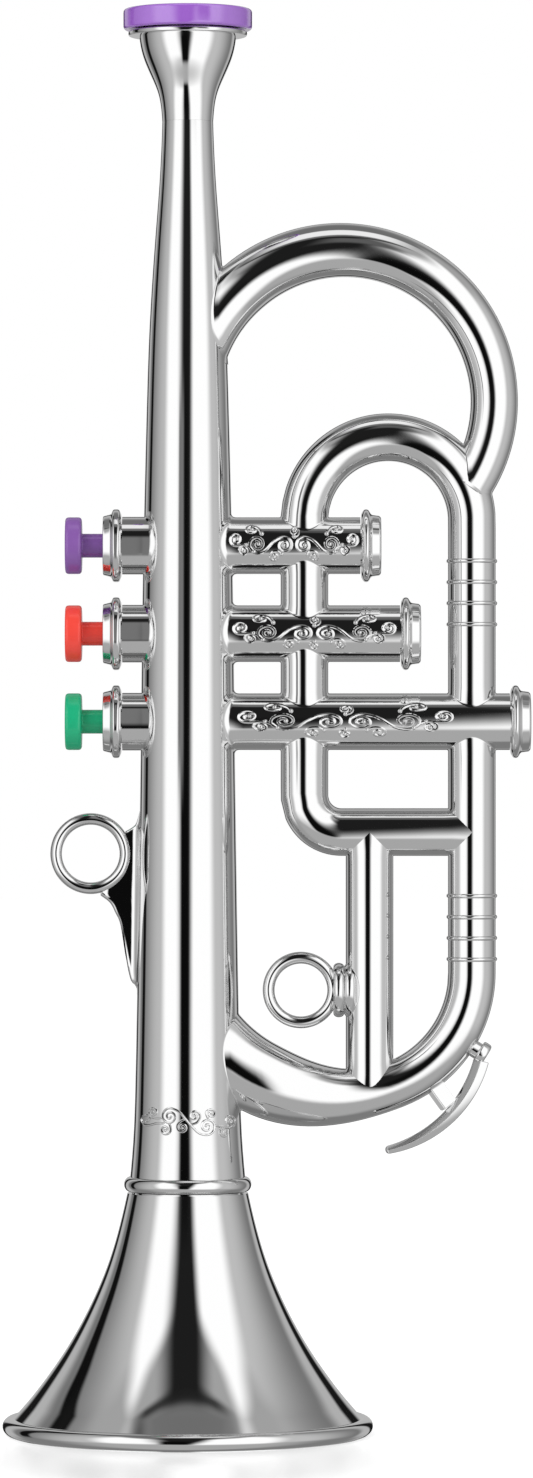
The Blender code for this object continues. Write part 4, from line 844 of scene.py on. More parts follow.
def straight(start, end):
    """Straight piece of a route: its length, its rings, and its place and heading at a distance."""
    start, end = on_axis(*start), on_axis(*end)
    heading = (end - start).normalized()
    length = (end - start).length
    return length, max(1, round(length / STRAIGHT_STEP)), lambda along: (start + heading * along, heading)


def bend(x, z, radius, start, end):
    """Round piece of a route about a centre, angles in degrees."""
    turn = math.copysign(1.0, end - start)
    length = radius * math.radians(abs(end - start))

    def place(along):
        angle = math.radians(start) + turn * along / radius
        spot = on_axis(x + radius * math.cos(angle), z + radius * math.sin(angle))
        return spot, Vector((-math.sin(angle) * turn, 0.0, math.cos(angle) * turn))

    return length, max(2, round(abs(end - start) / BEND_DEGREES)), place


def length_of(route):
    """Length of a whole route."""
    return sum(piece[0] for piece in route)


def place_on(route, along):
    """Place and heading at a distance along a route, which runs on past both of its ends."""
    for length, rings, place in route[:-1]:
        if along <= length:
            return place(along)
        along -= length
    return route[-1][2](along)


# %% Columns that stop at a neighbour's skin
SINK = 0.02 * MM                # how far a tube's end dips under its neighbour's skin
HALVINGS = 34                   # until the place where a column meets that skin is close enough
FILLET_STEPS = 6


def skin_point(route, along, angle, radius):
    """Point on a tube's skin, with the seam pressed in at both sides of the middle plane."""
    centre, heading = place_on(route, along)
    side = Vector((heading.z, 0.0, -heading.x))
    groove = SEAM_DEPTH * math.exp(-(radius * math.sin(angle) / SEAM_WIDTH) ** 2)
    return centre + (side * math.cos(angle) + BACK * math.sin(angle)) * (radius - groove)


def meets(route, angle, radius, host, inside, outside):
    """Distance along the route where a column meets the host's skin."""
    if host is None:
        return inside
    for _ in range(HALVINGS):
        middle = (inside + outside) / 2
        if host(skin_point(route, middle, angle, radius)) < -SINK:
            inside = middle
        else:
            outside = middle
    return inside


def fillet_points(foot, corner, top, radius, fillet):
    """Places and radii of a column's fillet, from its foot on the host's skin up to the tube's own skin."""
    foot, corner, top = Vector((foot, radius + fillet)), Vector((corner, radius)), Vector((top, radius))
    shares = [step / FILLET_STEPS for step in range(FILLET_STEPS)]
    return [tuple(foot.lerp(corner, share).lerp(corner.lerp(top, share), share)) for share in shares]


def skinned(name, loops, joined=False):
    """Skin between closed loops of points: the last loop joins the first, or both are filled."""
    count = len(loops[0])
    faces = []
    for row in range(len(loops) if joined else len(loops) - 1):
        here, after = row * count, (row + 1) % len(loops) * count
        faces += [(here + spot, here + (spot + 1) % count, after + (spot + 1) % count, after + spot)
                  for spot in range(count)]
    if not joined:
        faces += [tuple(range(count)), tuple(range((len(loops) - 1) * count, len(loops) * count))]
    data = bpy.data.meshes.new(name)
    data.from_pydata([point for loop in loops for point in loop], [], faces)
    return finish_mesh(name, data, CHROME)


def hollow_tube(name, route, radius, hosts=(None, None), fillets=(0.0, 0.0), columns=96):
    """Closed shell of a hollow tube, its radius a number or told by distance, its ends on its hosts' skins."""
    radius_at = radius if callable(radius) else lambda along: radius
    total = length_of(route)
    shares = [0.0]
    for length, rings, place in route:
        shares += [shares[-1] + length * (ring + 1) / rings / total for ring in range(rings)]
    shares[-1] = 1.0
    lines = []
    for column in range(columns):
        angle = math.tau * column / columns
        angle -= SEAM_CROWDING / 2 * math.sin(2 * angle)
        (start, start_foot, start_in), (stop, stop_foot, stop_in) = (
            [meets(route, angle, radius_at(end) + extra, host, end, total / 2) for extra in (0.0, fillet, -WALL)]
            for end, host, fillet in zip((0.0, total), hosts, fillets))
        first, last = start + fillets[0], stop - fillets[1]
        outer = [first + (last - first) * share for share in shares]
        inner = [start_in + (stop_in - start_in) * share for share in reversed(shares)]
        line = fillet_points(start_foot, start, first, radius_at(0.0), fillets[0]) if fillets[0] else []
        line += [(along, radius_at(along)) for along in outer]
        if fillets[1]:
            line += fillet_points(stop_foot, stop, last, radius_at(total), fillets[1])[::-1]
        line += [(along, radius_at(along) - WALL) for along in inner]
        lines.append([skin_point(route, along, angle, reach) for along, reach in line])
    return skinned(name, lines, joined=True)


# %% Skins that the tubes run into
def beside_main_tube(point):
    """Distance of a point outside the main tube's skin."""
    return math.hypot(point.x - AXIS_X, point.y) - tube_radius(point.z)


def beside_level(height, radius):
    """Distance outside a tube that lies level at a height."""
    return lambda point: math.hypot(point.z - height, point.y) - radius


def beside_route(route, radius):
    """Distance outside a tube that follows a route, tried at its rings and between them."""
    count = round(length_of(route) / MM)
    spots = [place_on(route, length_of(route) * index / count)[0] for index in range(count + 1)]

    def distance(point):
        nearest = min(range(len(spots)), key=lambda index: (spots[index] - point).length_squared)
        low, high = neighbours(spots, nearest)
        run = high - low
        return (point - low - run * held((point - low).dot(run) / run.length_squared)).length - radius

    return distance


# %% [markdown]
# ## Valve casings
#
# Three straight casings of different lengths stand out to the right of the main tube, with a small
# moulded fillet at the root. They carry nothing: on this toy the valves are inside, under the keys.
# A cylinder would do for a casing but not for its root, so it is laid out in columns like every
# other tube. Its cap is turned, because the bead and the cone are outlines.

# %% Casings and their caps
CASING_R = 7.37 * MM
CASING_FILLET = 1.2 * MM
BEAD_R = 9.44 * MM              # beads of the caps and of the key collars
BEAD_W = 2.4 * MM
CAP_SPIGOT_L = 3.5 * MM
CAP_SPIGOT_R = CASING_R - WALL - FIT
SPIGOT_WALL = 0.8 * MM
VALVES = (1, 2, 3)
valve_z = {number: middle_of(f"key_{number}", Z) for number in VALVES}


def level_tube(name, number, mouth, radius, fillet):
    """Straight tube that stands out from the main tube at the height of a valve."""
    route = [straight((0.0, valve_z[number]), (mouth, valve_z[number]))]
    return hollow_tube(name, route, radius, hosts=(beside_main_tube, None), fillets=(fillet, 0.0))


def casing_cap(number):
    """Cap with its bead, a low cone and a spigot into the casing."""
    low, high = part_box(f"casing_cap_{number}")
    width = high.x - low.x - CAP_SPIGOT_L
    outline = rounded([
        (0.0, width, 0.0), (7.3 * MM, width, 0.7 * MM), (7.75 * MM, width - 0.5 * MM, 0.4 * MM),
        (8.0 * MM, BEAD_W + 0.35 * MM, 0.5 * MM), (8.35 * MM, BEAD_W, 0.25 * MM), (BEAD_R, BEAD_W * 0.72, 0.9 * MM),
        (BEAD_R, BEAD_W * 0.28, 0.9 * MM), (8.3 * MM, 0.0, 0.4 * MM), (CAP_SPIGOT_R, 0.0, 0.0),
        (CAP_SPIGOT_R, -CAP_SPIGOT_L, 0.0), (CAP_SPIGOT_R - SPIGOT_WALL, -CAP_SPIGOT_L, 0.0),
        (CAP_SPIGOT_R - SPIGOT_WALL, 0.0, 0.0), (0.0, 0.0, 0.0)])
    return turned(f"plated_cap_{number}", outline, (low.x + CAP_SPIGOT_L, 0.0, valve_z[number]), axis=RIGHT,
                  columns=96)


for number in VALVES:
    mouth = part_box(f"valve_casing_{number}")[1].x - AXIS_X
    fit(level_tube(f"plated_casing_{number}", number, mouth, CASING_R, CASING_FILLET), f"valve_casing_{number}")
for number in VALVES:
    fit(casing_cap(number), f"casing_cap_{number}")

# %% [markdown]
# ## Key sockets, collars and keys
#
# On the left each valve has a short socket, a beaded collar that guides the stem, and a round key to
# press. They could be cylinders with Bevel modifiers, but a turned outline gives each edge a rounding
# of its own. The key slides 4 mm, so everything that goes with it rides on its own body.

# %% Sockets, collars and keys
SOCKET_R = 7.5 * MM
SOCKET_REACH = 17.0 * MM
SOCKET_FILLET = 1.8 * MM
COLLAR_CONE_L = 2.3 * MM
COLLAR_RECESS = 1.3 * MM
COLLAR_WEB_T = 1.6 * MM
COLLAR_SPIGOT_R = SOCKET_R - WALL - FIT
COLLAR_BORE_R = COLLAR_SPIGOT_R - SPIGOT_WALL
STEM_R = 3.1 * MM
KEY_CAP_T = 4.3 * MM
KEY_CAP_R = 7.37 * MM
FLANGE_R = COLLAR_BORE_R - FIT
FLANGE_T = 1.2 * MM
ROD_R = 1.2 * MM
ROD_HEAD_R = 2.2 * MM
ROD_HEAD_T = 0.6 * MM
# The first key's purple is the lip ring's plastic darkened as painted shade
KEY_FINISHES = {1: (SHADED_PURPLE, "purple_plastic"), 2: (RED, "red_plastic"), 3: (GREEN, "green_plastic")}


def collar(number):
    """Beaded collar with the web that guides the stem."""
    low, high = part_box(f"key_collar_{number}")
    length = high.x - low.x
    guide_r = STEM_R + FIT
    bead_foot = COLLAR_CONE_L + BEAD_W
    web_foot = COLLAR_RECESS + COLLAR_WEB_T
    outline = rounded([
        (7.6 * MM, 0.0, 0.35 * MM), (7.75 * MM, 0.5 * MM, 0.3 * MM), (8.15 * MM, COLLAR_CONE_L - 0.2 * MM, 0.8 * MM),
        (BEAD_R, COLLAR_CONE_L + 0.35 * MM, 0.7 * MM), (BEAD_R, bead_foot - 0.5 * MM, 0.7 * MM),
        (8.1 * MM, bead_foot, 0.3 * MM), (COLLAR_SPIGOT_R, bead_foot, 0.0), (COLLAR_SPIGOT_R, length, 0.0),
        (COLLAR_BORE_R, length, 0.0), (COLLAR_BORE_R, web_foot, 0.0), (guide_r, web_foot, 0.0),
        (guide_r, COLLAR_RECESS, 0.2 * MM), (COLLAR_SPIGOT_R, COLLAR_RECESS, 0.0), (COLLAR_SPIGOT_R, 0.0, 0.3 * MM)])
    return turned(f"plated_collar_{number}", outline, (low.x, 0.0, valve_z[number]), axis=RIGHT, columns=96)


def push_key(number, finish):
    """Key cap with rounded edges, stem, stop flange, and the rod that carries the valve pad."""
    low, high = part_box(f"key_{number}")
    collar_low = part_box(f"key_collar_{number}")[0]
    length = high.x - low.x
    stop = collar_low.x + COLLAR_RECESS + COLLAR_WEB_T + FIT - low.x
    outline = rounded([
        (0.0, 0.0, 0.0), (KEY_CAP_R, 0.0, 1.0 * MM), (KEY_CAP_R, KEY_CAP_T, 1.0 * MM), (STEM_R, KEY_CAP_T, 0.4 * MM),
        (STEM_R, stop, 0.0), (FLANGE_R, stop, 0.2 * MM), (FLANGE_R, stop + FLANGE_T, 0.2 * MM),
        (ROD_R, stop + FLANGE_T, 0.0), (ROD_R, length - ROD_HEAD_T, 0.0), (ROD_HEAD_R, length - ROD_HEAD_T, 0.1 * MM),
        (ROD_HEAD_R, length, 0.1 * MM), (0.0, length, 0.0)], steps=7)
    return turned(f"push_button_{number}", outline, (low.x, 0.0, valve_z[number]), finish, axis=RIGHT, columns=96)


for number in VALVES:
    fit(level_tube(f"plated_socket_{number}", number, -SOCKET_REACH, SOCKET_R, SOCKET_FILLET))
    fit(collar(number), f"key_collar_{number}")
    finish, slot = KEY_FINISHES[number]
    fit(push_key(number, finish), f"key_{number}", slot=slot, body=f"push_key_{number}")

# %% [markdown]
# ## Loops and bows
#
# The tubing beside the valves is all one size, 12.4 mm across, apart from two bows that swell towards
# the main tube. A curve with a bevel could follow such a route too, but its ends couldn't follow a
# neighbour's skin. The routes are straight lines and arcs, taken from the CAD.

# %% Inner loop
TUBE_R = 6.2 * MM
JOINT_FILLET = 0.45 * MM
TWO_FILLETS = (JOINT_FILLET, JOINT_FILLET)
loop_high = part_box("loop_top_front")[1]
LOOP_LEFT_X = middle_of("loop_stub_1", X) - AXIS_X
LOOP_RIGHT_X = loop_high.x - AXIS_X - TUBE_R
LOOP_BEND = (LOOP_RIGHT_X - LOOP_LEFT_X) / 2
LOOP_TOP_Z = loop_high.z - TUBE_R - LOOP_BEND
on_casing = {number: beside_level(valve_z[number], CASING_R) for number in VALVES}

loop_route = [straight((LOOP_LEFT_X, valve_z[1]), (LOOP_LEFT_X, LOOP_TOP_Z)),
              bend(LOOP_LEFT_X + LOOP_BEND, LOOP_TOP_Z, LOOP_BEND, 180.0, 0.0),
              straight((LOOP_RIGHT_X, LOOP_TOP_Z), (LOOP_RIGHT_X, valve_z[3]))]
fit(hollow_tube("loop_crook", loop_route, TUBE_R, (on_casing[1], on_casing[3]), TWO_FILLETS),
    "loop_top_front", "loop_top_rear")
for upper, lower in ((1, 2), (2, 3)):
    link = hollow_tube(f"loop_link_{upper}", [straight((LOOP_LEFT_X, valve_z[upper]), (LOOP_LEFT_X, valve_z[lower]))],
                       TUBE_R, (on_casing[upper], on_casing[lower]), TWO_FILLETS)
    fit(link, f"loop_stub_{upper}")

# %% Bottom bow
LEG_FOOT_Z = 119.8 * MM
TIGHT_BEND = 31.0 * MM
WIDE_BEND = 42.0 * MM
TIGHT_TURN = 65.0
BOTTOM_BOW_END = -142.0
BOTTOM_BOW_ROOT_R = 9.7 * MM
FLARE_STARTS = -70.0            # degrees on the wide bend
FLARE_ENDS = -118.0
tight_x = LOOP_RIGHT_X - TIGHT_BEND
wide_x = tight_x - (WIDE_BEND - TIGHT_BEND) * math.cos(math.radians(TIGHT_TURN))
wide_z = LEG_FOOT_Z + (WIDE_BEND - TIGHT_BEND) * math.sin(math.radians(TIGHT_TURN))
bow_route = [straight((LOOP_RIGHT_X, valve_z[3]), (LOOP_RIGHT_X, LEG_FOOT_Z)),
             bend(tight_x, LEG_FOOT_Z, TIGHT_BEND, 0.0, -TIGHT_TURN),
             bend(wide_x, wide_z, WIDE_BEND, -TIGHT_TURN, BOTTOM_BOW_END)]


def bottom_bow_radius(along):
    """The bow's radius, which flares on the wide bend."""
    angle = -TIGHT_TURN - math.degrees((along - length_of(bow_route[:2])) / WIDE_BEND)
    share = held((angle - FLARE_STARTS) / (FLARE_ENDS - FLARE_STARTS))
    return TUBE_R + (BOTTOM_BOW_ROOT_R - TUBE_R) * share * share * (3 - 2 * share)


bottom_bow = hollow_tube("bottom_bow", bow_route, bottom_bow_radius, (on_casing[3], beside_main_tube), TWO_FILLETS,
                         columns=112)
fit(bottom_bow, "bottom_bow_front", "bottom_bow_rear")

# %% Corner with the level tube, and the drop tube
LEVEL_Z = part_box("loop_corner_front")[0].z + TUBE_R
CORNER_BEND = 9.6 * MM
DROP_X = middle_of("drop_tube", X) - AXIS_X
on_bow = beside_route(bow_route, TUBE_R)
corner_route = [straight((LOOP_LEFT_X, valve_z[3]), (LOOP_LEFT_X, LEVEL_Z + CORNER_BEND)),
                bend(LOOP_LEFT_X + CORNER_BEND, LEVEL_Z + CORNER_BEND, CORNER_BEND, 180.0, 270.0),
                straight((LOOP_LEFT_X + CORNER_BEND, LEVEL_Z), (LOOP_RIGHT_X, LEVEL_Z))]
fit(hollow_tube("loop_elbow", corner_route, TUBE_R, (on_casing[3], on_bow), (JOINT_FILLET, 0.0)),
    "loop_corner_front", "loop_corner_rear")
drop_route = [straight((DROP_X, LEVEL_Z), (DROP_X, LEG_FOOT_Z - TIGHT_BEND))]
fit(hollow_tube("drop_leg", drop_route, TUBE_R, (beside_level(LEVEL_Z, TUBE_R), on_bow)), "drop_tube")

# %% Upper bow
UPPER_BOW_X = 40.2 * MM
UPPER_BOW_Z = 268.1 * MM
UPPER_BOW_BEND = 39.4 * MM
UPPER_BOW_ROOT_R = 7.4 * MM
UPPER_BOW_TIP_R = 6.15 * MM
UPPER_BOW_START = 162.0         # degrees, as the three below
TAPER_STARTS = 130.0
TAPER_ENDS = 5.0
UPPER_BOW_END = -34.0
UPPER_FILLET = 0.8 * MM


def upper_bow_radius(along):
    """The bow's radius, which tapers from its root towards its tip."""
    angle = UPPER_BOW_START - math.degrees(along / UPPER_BOW_BEND)
    share = held((angle - TAPER_STARTS) / (TAPER_ENDS - TAPER_STARTS))
    return UPPER_BOW_ROOT_R + (UPPER_BOW_TIP_R - UPPER_BOW_ROOT_R) * share


upper_route = [bend(UPPER_BOW_X, UPPER_BOW_Z, UPPER_BOW_BEND, UPPER_BOW_START, UPPER_BOW_END)]
on_loop = beside_route(loop_route, TUBE_R)
upper_bow = hollow_tube("upper_bow", upper_route, upper_bow_radius, (beside_main_tube, on_loop),
                        (UPPER_FILLET, JOINT_FILLET), columns=112)
fit(upper_bow, "upper_bow_front", "upper_bow_rear")

# %% [markdown]
# ## Ribs on the right leg
#
# Two groups of four fine half-round ribs go round the right leg. They are the same ring at an even
# pitch, so a node tree sweeps one circle round another and sets it on each point of a line.

# %% Rib tree
RIB_COUNT = 4
RIB_PITCH = 5.48 * MM
RIB_R = 0.6 * MM
RIB_SINK = 0.18 * MM            # how deep the ring's middle lies under the leg's skin
RIB_GROUPS = {"upper": 226.7 * MM, "lower": 139.8 * MM}
RIB_STEPS = 72
RIB_SIDES = 14


def wired(tree, curve, radius, sides, caps=True):
    """Sweep a round wire along a curve."""
    wire = add_node(tree, "GeometryNodeCurvePrimitiveCircle", {"Resolution": sides, "Radius": radius})
    return add_node(tree, "GeometryNodeCurveToMesh", {"Curve": curve, "Profile Curve": wire, "Fill Caps": caps})


def rib_tree():
    """A row of rings, one below the other, from the height of the topmost one."""
    tree, given = new_tree("row_of_ribs", count="Int", pitch="Float", ring_radius="Float", wire_radius="Float",
                           top="Vector")
    down = add_node(tree, "ShaderNodeCombineXYZ", {
        "Z": add_node(tree, MATH, [given["Pitch"], -1.0], operation="MULTIPLY")})
    row = add_node(tree, "GeometryNodeMeshLine", {"Count": given["Count"], "Start Location": given["Top"],
                                                  "Offset": down})
    ring = add_node(tree, "GeometryNodeCurvePrimitiveCircle", {"Resolution": RIB_STEPS,
                                                               "Radius": given["Ring radius"]})
    rib = wired(tree, ring, given["Wire radius"], RIB_SIDES, caps=False)
    return end_tree(tree, given, add_node(tree, "GeometryNodeInstanceOnPoints", {"Points": row, "Instance": rib}))


RIBS = rib_tree()
empty_seed = bpy.data.meshes.new("empty_seed")
for group, top in RIB_GROUPS.items():
    data = grow(f"leg_ribs_{group}", empty_seed, RIBS, count=RIB_COUNT, pitch=RIB_PITCH,
                ring_radius=TUBE_R - RIB_SINK, wire_radius=RIB_R, top=on_axis(LOOP_RIGHT_X, top), material=CHROME)
    fit(finish_mesh(f"leg_ribs_{group}", data))

# %% [markdown]
# ## Rings for the fingers
#
# Two round rings let a child hold the horn. The right one stands on two beads beside the drop tube.
# The left one grows out of the main tube on a thin web: its free edge is thickened to a bead, and
# its root widens into the tube with a hollow fillet. The web is laid out in level sections, because
# each of them is easy to say: how far it reaches, how thick it is, how it meets the tube.

# %% Turned ring and its beads
FINGER_X = DROP_X - 17.8 * MM
FINGER_Z = LEG_FOOT_Z - 4.5 * MM
FINGER_RING_R = 8.4 * MM
FINGER_WIRE_R = 1.55 * MM
FINGER_BEAD_R = 7.1 * MM
FINGER_BEAD_W = 2.85 * MM
FINGER_WAIST_R = 6.1 * MM
WIRE_SIDES = 24


def wire_ring(x, z, radius, wire_r):
    """Round ring of round wire that lies in the plane of the tubes."""
    section = arc_points((radius, 0.0), wire_r, 0.0, 360.0 - 360.0 / WIRE_SIDES, WIRE_SIDES - 1)
    return turned("ring", section, on_axis(x, z), axis=BACK, columns=112)


def finger_beads():
    """Two half-round beads between the ring and the drop tube."""
    outline = [(0.0, 2 * FINGER_BEAD_W), (FINGER_WAIST_R, 2 * FINGER_BEAD_W)]
    for bead in (1, 0):
        outline += [(FINGER_WAIST_R + (FINGER_BEAD_R - FINGER_WAIST_R) * math.cos(turn),
                     FINGER_BEAD_W * (bead + 0.5 + 0.5 * math.sin(turn)))
                    for turn in (math.radians(angle) for angle in range(80, -81, -16))]
    outline += [(FINGER_WAIST_R * 0.9, 0.0), (0.0, -0.3 * MM)]
    return turned("finger_beads", outline, on_axis(FINGER_X + FINGER_RING_R, FINGER_Z), axis=RIGHT, columns=80)


finger_ring = wire_ring(FINGER_X, FINGER_Z, FINGER_RING_R, FINGER_WIRE_R)
fit(gathered("finger_hook", finger_ring, finger_beads()), "finger_ring")

# %% Smooth lines and rods
def smooth_line(points, steps=8):
    """A smooth line through its points."""
    spots = [Vector(point) for point in points]
    spots = [2 * spots[0] - spots[1], *spots, 2 * spots[-1] - spots[-2]]
    line = []
    for index in range(1, len(spots) - 2):
        before, start, end, after = spots[index - 1:index + 3]
        line += [0.5 * (2 * start + (end - before) * share + (2 * before - 5 * start + 4 * end - after) * share ** 2
                        + (3 * start - before - 3 * end + after) * share ** 3)
                 for share in (part / steps for part in range(steps))]
    return [*line, spots[-2]]


def tapered_rod(name, points, radius, tip):
    """Round rod through points, tapering to a share of its radius."""
    curve = bpy.data.curves.new(name, "CURVE")
    curve.dimensions = "3D"
    curve.bevel_depth = radius
    curve.bevel_resolution = 4
    curve.use_fill_caps = True
    spline = curve.splines.new("POLY")
    spline.points.add(len(points) - 1)
    for index, (spot, point) in enumerate(zip(spline.points, points)):
        spot.co = (*point, 1.0)
        spot.radius = 1 + (tip - 1) * index / (len(points) - 1)
    holder = bpy.data.objects.new(name, curve)
    data = bpy.data.meshes.new_from_object(holder)
    bpy.data.objects.remove(holder)
    data.materials.clear()
    return finish_mesh(name, data, CHROME)


# %% Web of the thumb ring
THUMB_X = -25.2 * MM
THUMB_Z = LEVEL_Z - 5.6 * MM
THUMB_RING_R = 9.0 * MM
THUMB_WIRE_R = 1.5 * MM
WEB_RING_ANGLES = (-72.0, 30.0)   # of the stretch of the ring that the web's edge runs along
WEB_HALF = 0.8 * MM
WEB_FILLET = 1.9 * MM
WEB_LEAST = 0.05 * MM           # the web reaches at least this far out of the tube
WEB_BEAD_R = 0.8 * MM
WEB_BEAD_TIP = 0.7
WEB_STEP = 0.5 * MM
WEB_COLUMNS = 12
WEB_CROWDING = 1.5              # draws the columns together at the tube
# Free edge of the web from its foot to its top, as millimetres from the ring's centre
WEB_LOWER_EDGE = [(12.4, -36.6), (11.6, -34.3), (10.3, -32.6), (9.0, -26.4), (7.7, -18.5), (6.4, -15.4),
                  (5.0, -12.8), (2.5, -10.8)]
WEB_UPPER_EDGE = [(9.0, 5.8), (10.3, 6.5), (11.6, 7.55), (12.2, 9.1), (12.7, 11.0)]


def web_section(skin, tip):
    """Half of a level section, from the tube's skin to its tip, as distances across and half thicknesses."""
    width = skin - tip
    fillet = min(WEB_FILLET, 0.8 * width)
    half = min(WEB_HALF, 0.5 * width)
    section = []
    for column in range(WEB_COLUMNS + 1):
        off = width * (column / WEB_COLUMNS) ** WEB_CROWDING
        left = width - off
        thick = half
        if off < fillet:
            thick += fillet - math.sqrt(fillet ** 2 - (fillet - off) ** 2)
        if left < half:
            thick = math.sqrt(max(0.0, half ** 2 - (half - left) ** 2))
        section.append((skin - off, thick))
    section[0] = (SINK - math.sqrt(skin ** 2 - section[0][1] ** 2), section[0][1])
    return section


def thumb_web(edge):
    """Level sections from the tube's skin out to the free edge and back."""
    loops = []
    count = round((edge[-1].y - edge[0].y) / WEB_STEP)
    spot = 0
    for row in range(count + 1):
        rise = edge[0].y + (edge[-1].y - edge[0].y) * row / count
        while spot < len(edge) - 2 and edge[spot + 1].y < rise:
            spot += 1
        low, high = edge[spot], edge[spot + 1]
        share = held((rise - low.y) / max(high.y - low.y, 1e-9))
        skin = -tube_radius(THUMB_Z + rise)
        section = web_section(skin, min(THUMB_X + low.x + (high.x - low.x) * share, skin - WEB_LEAST))
        loops.append([on_axis(x, THUMB_Z + rise, -y) for x, y in section]
                     + [on_axis(x, THUMB_Z + rise, y) for x, y in section[-2::-1]])
    return skinned("web", loops)


lower_edge, upper_edge = (smooth_line([(x * MM, z * MM) for x, z in edge])
                          for edge in (WEB_LOWER_EDGE, WEB_UPPER_EDGE))
ring_side = [Vector(spot) for spot in arc_points((0.0, 0.0), THUMB_RING_R, *WEB_RING_ANGLES, 24)]
bead_line = [on_axis(THUMB_X + x, THUMB_Z + z) for x, z in beside(lower_edge, WEB_BEAD_R)[::-1]]
fit(gathered("thumb_hook", wire_ring(THUMB_X, THUMB_Z, THUMB_RING_R, THUMB_WIRE_R),
             thumb_web([*lower_edge, *ring_side, *upper_edge]),
             tapered_rod("bead", bead_line, WEB_BEAD_R, WEB_BEAD_TIP)), "thumb_ring")

# %% [markdown]
# ## Scrollwork
#
# The fronts of the casings and the foot of the main tube carry raised scrolls, as on a silver spoon.
# A bump texture would stay flat where the tube curves away, so they are wires. A scroll is a set of
# strands drawn flat in millimetres, most of them ending in a curl. One node tree wraps them round the
# tube, sweeps a thin wire along them and ends each in a small ball. The same scroll serves all three
# casings: it is drawn for the shortest and stretched for the others.

# %% Draw the scrolls
CURL_STEPS = 9                  # points in one turn of a curl
CURL_CLOSES = 0.86              # share of its radius that a curl gives up on its way in


def curl(x, y, radius, start, turns):
    """Points of a curl from its outside to its heart; the turns are positive when anticlockwise."""
    count = math.ceil(abs(turns) * CURL_STEPS)
    points = []
    for share in (step / count for step in range(count + 1)):
        angle = math.radians(start + 360 * turns * share)
        reach = radius * (1 - CURL_CLOSES * share)
        points.append((x + reach * math.cos(angle), y + reach * math.sin(angle)))
    return points


# Left half of the casing scroll, across from its middle and up from the casing's front line
CASING_STRANDS = [
    [*curl(-9.5, 0.2, 2.3, -90, -1.75)[::-1], (-7.5, -1.45), (-5.7, 0.45), (-4.2, 1.6),
     *curl(-2.5, -0.1, 2.1, 90, -1.75)],
    [(-12.4, 0.0), (-13.7, -0.15), *curl(-15.0, 1.4, 1.6, -110, -1.6)],
    [(-10.5, -1.75), (-11.5, -0.5), *curl(-13.0, -1.4, 1.4, 70, 1.5)],
    [(-8.4, 2.95), (-8.9, 3.9), (-9.9, 4.6), (-11.4, 4.85), (-12.35, 4.2), (-12.1, 3.5), (-11.0, 3.25),
     (-10.1, 3.55), (-10.2, 4.0), (-10.9, 4.0)],
    [(-3.3, -2.35), (-4.1, -1.8), *curl(-5.05, -3.0, 1.3, 80, 1.4)],
]
MIDDLE_STRANDS = [curl(0.0, 3.4, 1.25, -90, 1.4)]
FOOT_STRANDS = [curl(0.0, -3.3, 1.05, 90, 1.4)]
# The tube's scroll, across from the tube's front line and up from the crossing of its long strand
TUBE_STRANDS = [
    [*curl(-4.5, 1.15, 2.15, 90, 1.7)[::-1], (-2.2, 2.45), (-0.5, 0.65), (1.35, -1.5), (3.1, -3.15),
     *curl(5.1, -1.4, 2.2, -90, 1.7)],
    [(-6.2, -0.6), (-8.0, -0.75), (-9.9, -1.3), (-11.3, -1.1), (-11.9, -0.1), (-11.6, 0.75), (-10.6, 1.2),
     (-9.7, 0.9), (-9.9, 0.1), (-10.7, -0.4)],
    [(-6.5, 0.75), (-8.0, 0.6), (-9.2, 0.95), *curl(-8.75, 2.1, 1.25, -150, -1.4)],
    [(-4.6, -0.8), *curl(-5.6, -2.25, 1.45, 30, -1.5)],
    [(-0.7, 0.5), *curl(-1.2, -1.6, 1.55, 120, 1.4)],
    [(1.0, -0.9), (2.3, -0.5), *curl(1.9, 1.3, 1.55, -50, 1.5)],
    [(5.3, 0.85), *curl(6.2, 1.8, 1.3, 170, -1.4)],
    [(7.3, -1.2), (8.3, -1.5), (9.6, -1.8), (10.9, -2.0), (12.0, -1.4), *curl(10.9, -0.1, 1.45, -20, 1.4)],
    [(10.7, -2.0), *curl(9.5, -3.2, 1.35, 100, 1.3)],
]
both_halves = CASING_STRANDS + [[(-x, y) for x, y in strand] for strand in CASING_STRANDS]
print("scroll strands:", len(both_halves), "on a casing,", len(TUBE_STRANDS), "on the tube")

# %% Scroll tree
SCROLL_SIDES = 9


def scroll_tree():
    """Strands laid as arc, nothing and height, wrapped round the Z axis on its front and its rear."""
    tree, given = new_tree("wrapped_scroll", radius="Float", slope="Float", wire_radius="Float", heart_radius="Float")
    flat = add_node(tree, "ShaderNodeSeparateXYZ", [add_node(tree, "GeometryNodeInputPosition")]).outputs
    radius = add_node(tree, MATH, [given["Slope"], flat["Z"], given["Radius"]], operation="MULTIPLY_ADD")
    turn = add_node(tree, MATH, [flat["X"], given["Radius"]], operation="DIVIDE")
    from_front = add_node(tree, MATH, [turn, math.pi / 2], operation="SUBTRACT")
    wrapped = add_node(tree, "GeometryNodeSetPosition", {"Geometry": given["Geometry"],
                                                         "Position": spin(tree, radius, from_front, flat["Z"])})
    strands = add_node(tree, "GeometryNodeMeshToCurve", {"Mesh": wrapped})
    heart = add_node(tree, "GeometryNodeMeshIcoSphere", {"Radius": given["Heart radius"], "Subdivisions": 3})
    hearts = add_node(tree, "GeometryNodeInstanceOnPoints", {
        "Points": strands, "Selection": add_node(tree, "GeometryNodeCurveEndpointSelection"), "Instance": heart})
    front = add_node(tree, "GeometryNodeJoinGeometry", [wired(tree, strands, given["Wire radius"], SCROLL_SIDES)])
    connect(tree, front, [hearts])
    rear = add_node(tree, "GeometryNodeTransform", {"Geometry": front, "Scale": (1.0, -1.0, 1.0)})
    both = add_node(tree, "GeometryNodeJoinGeometry", [front])
    return end_tree(tree, given, connect(tree, both, [rear]))


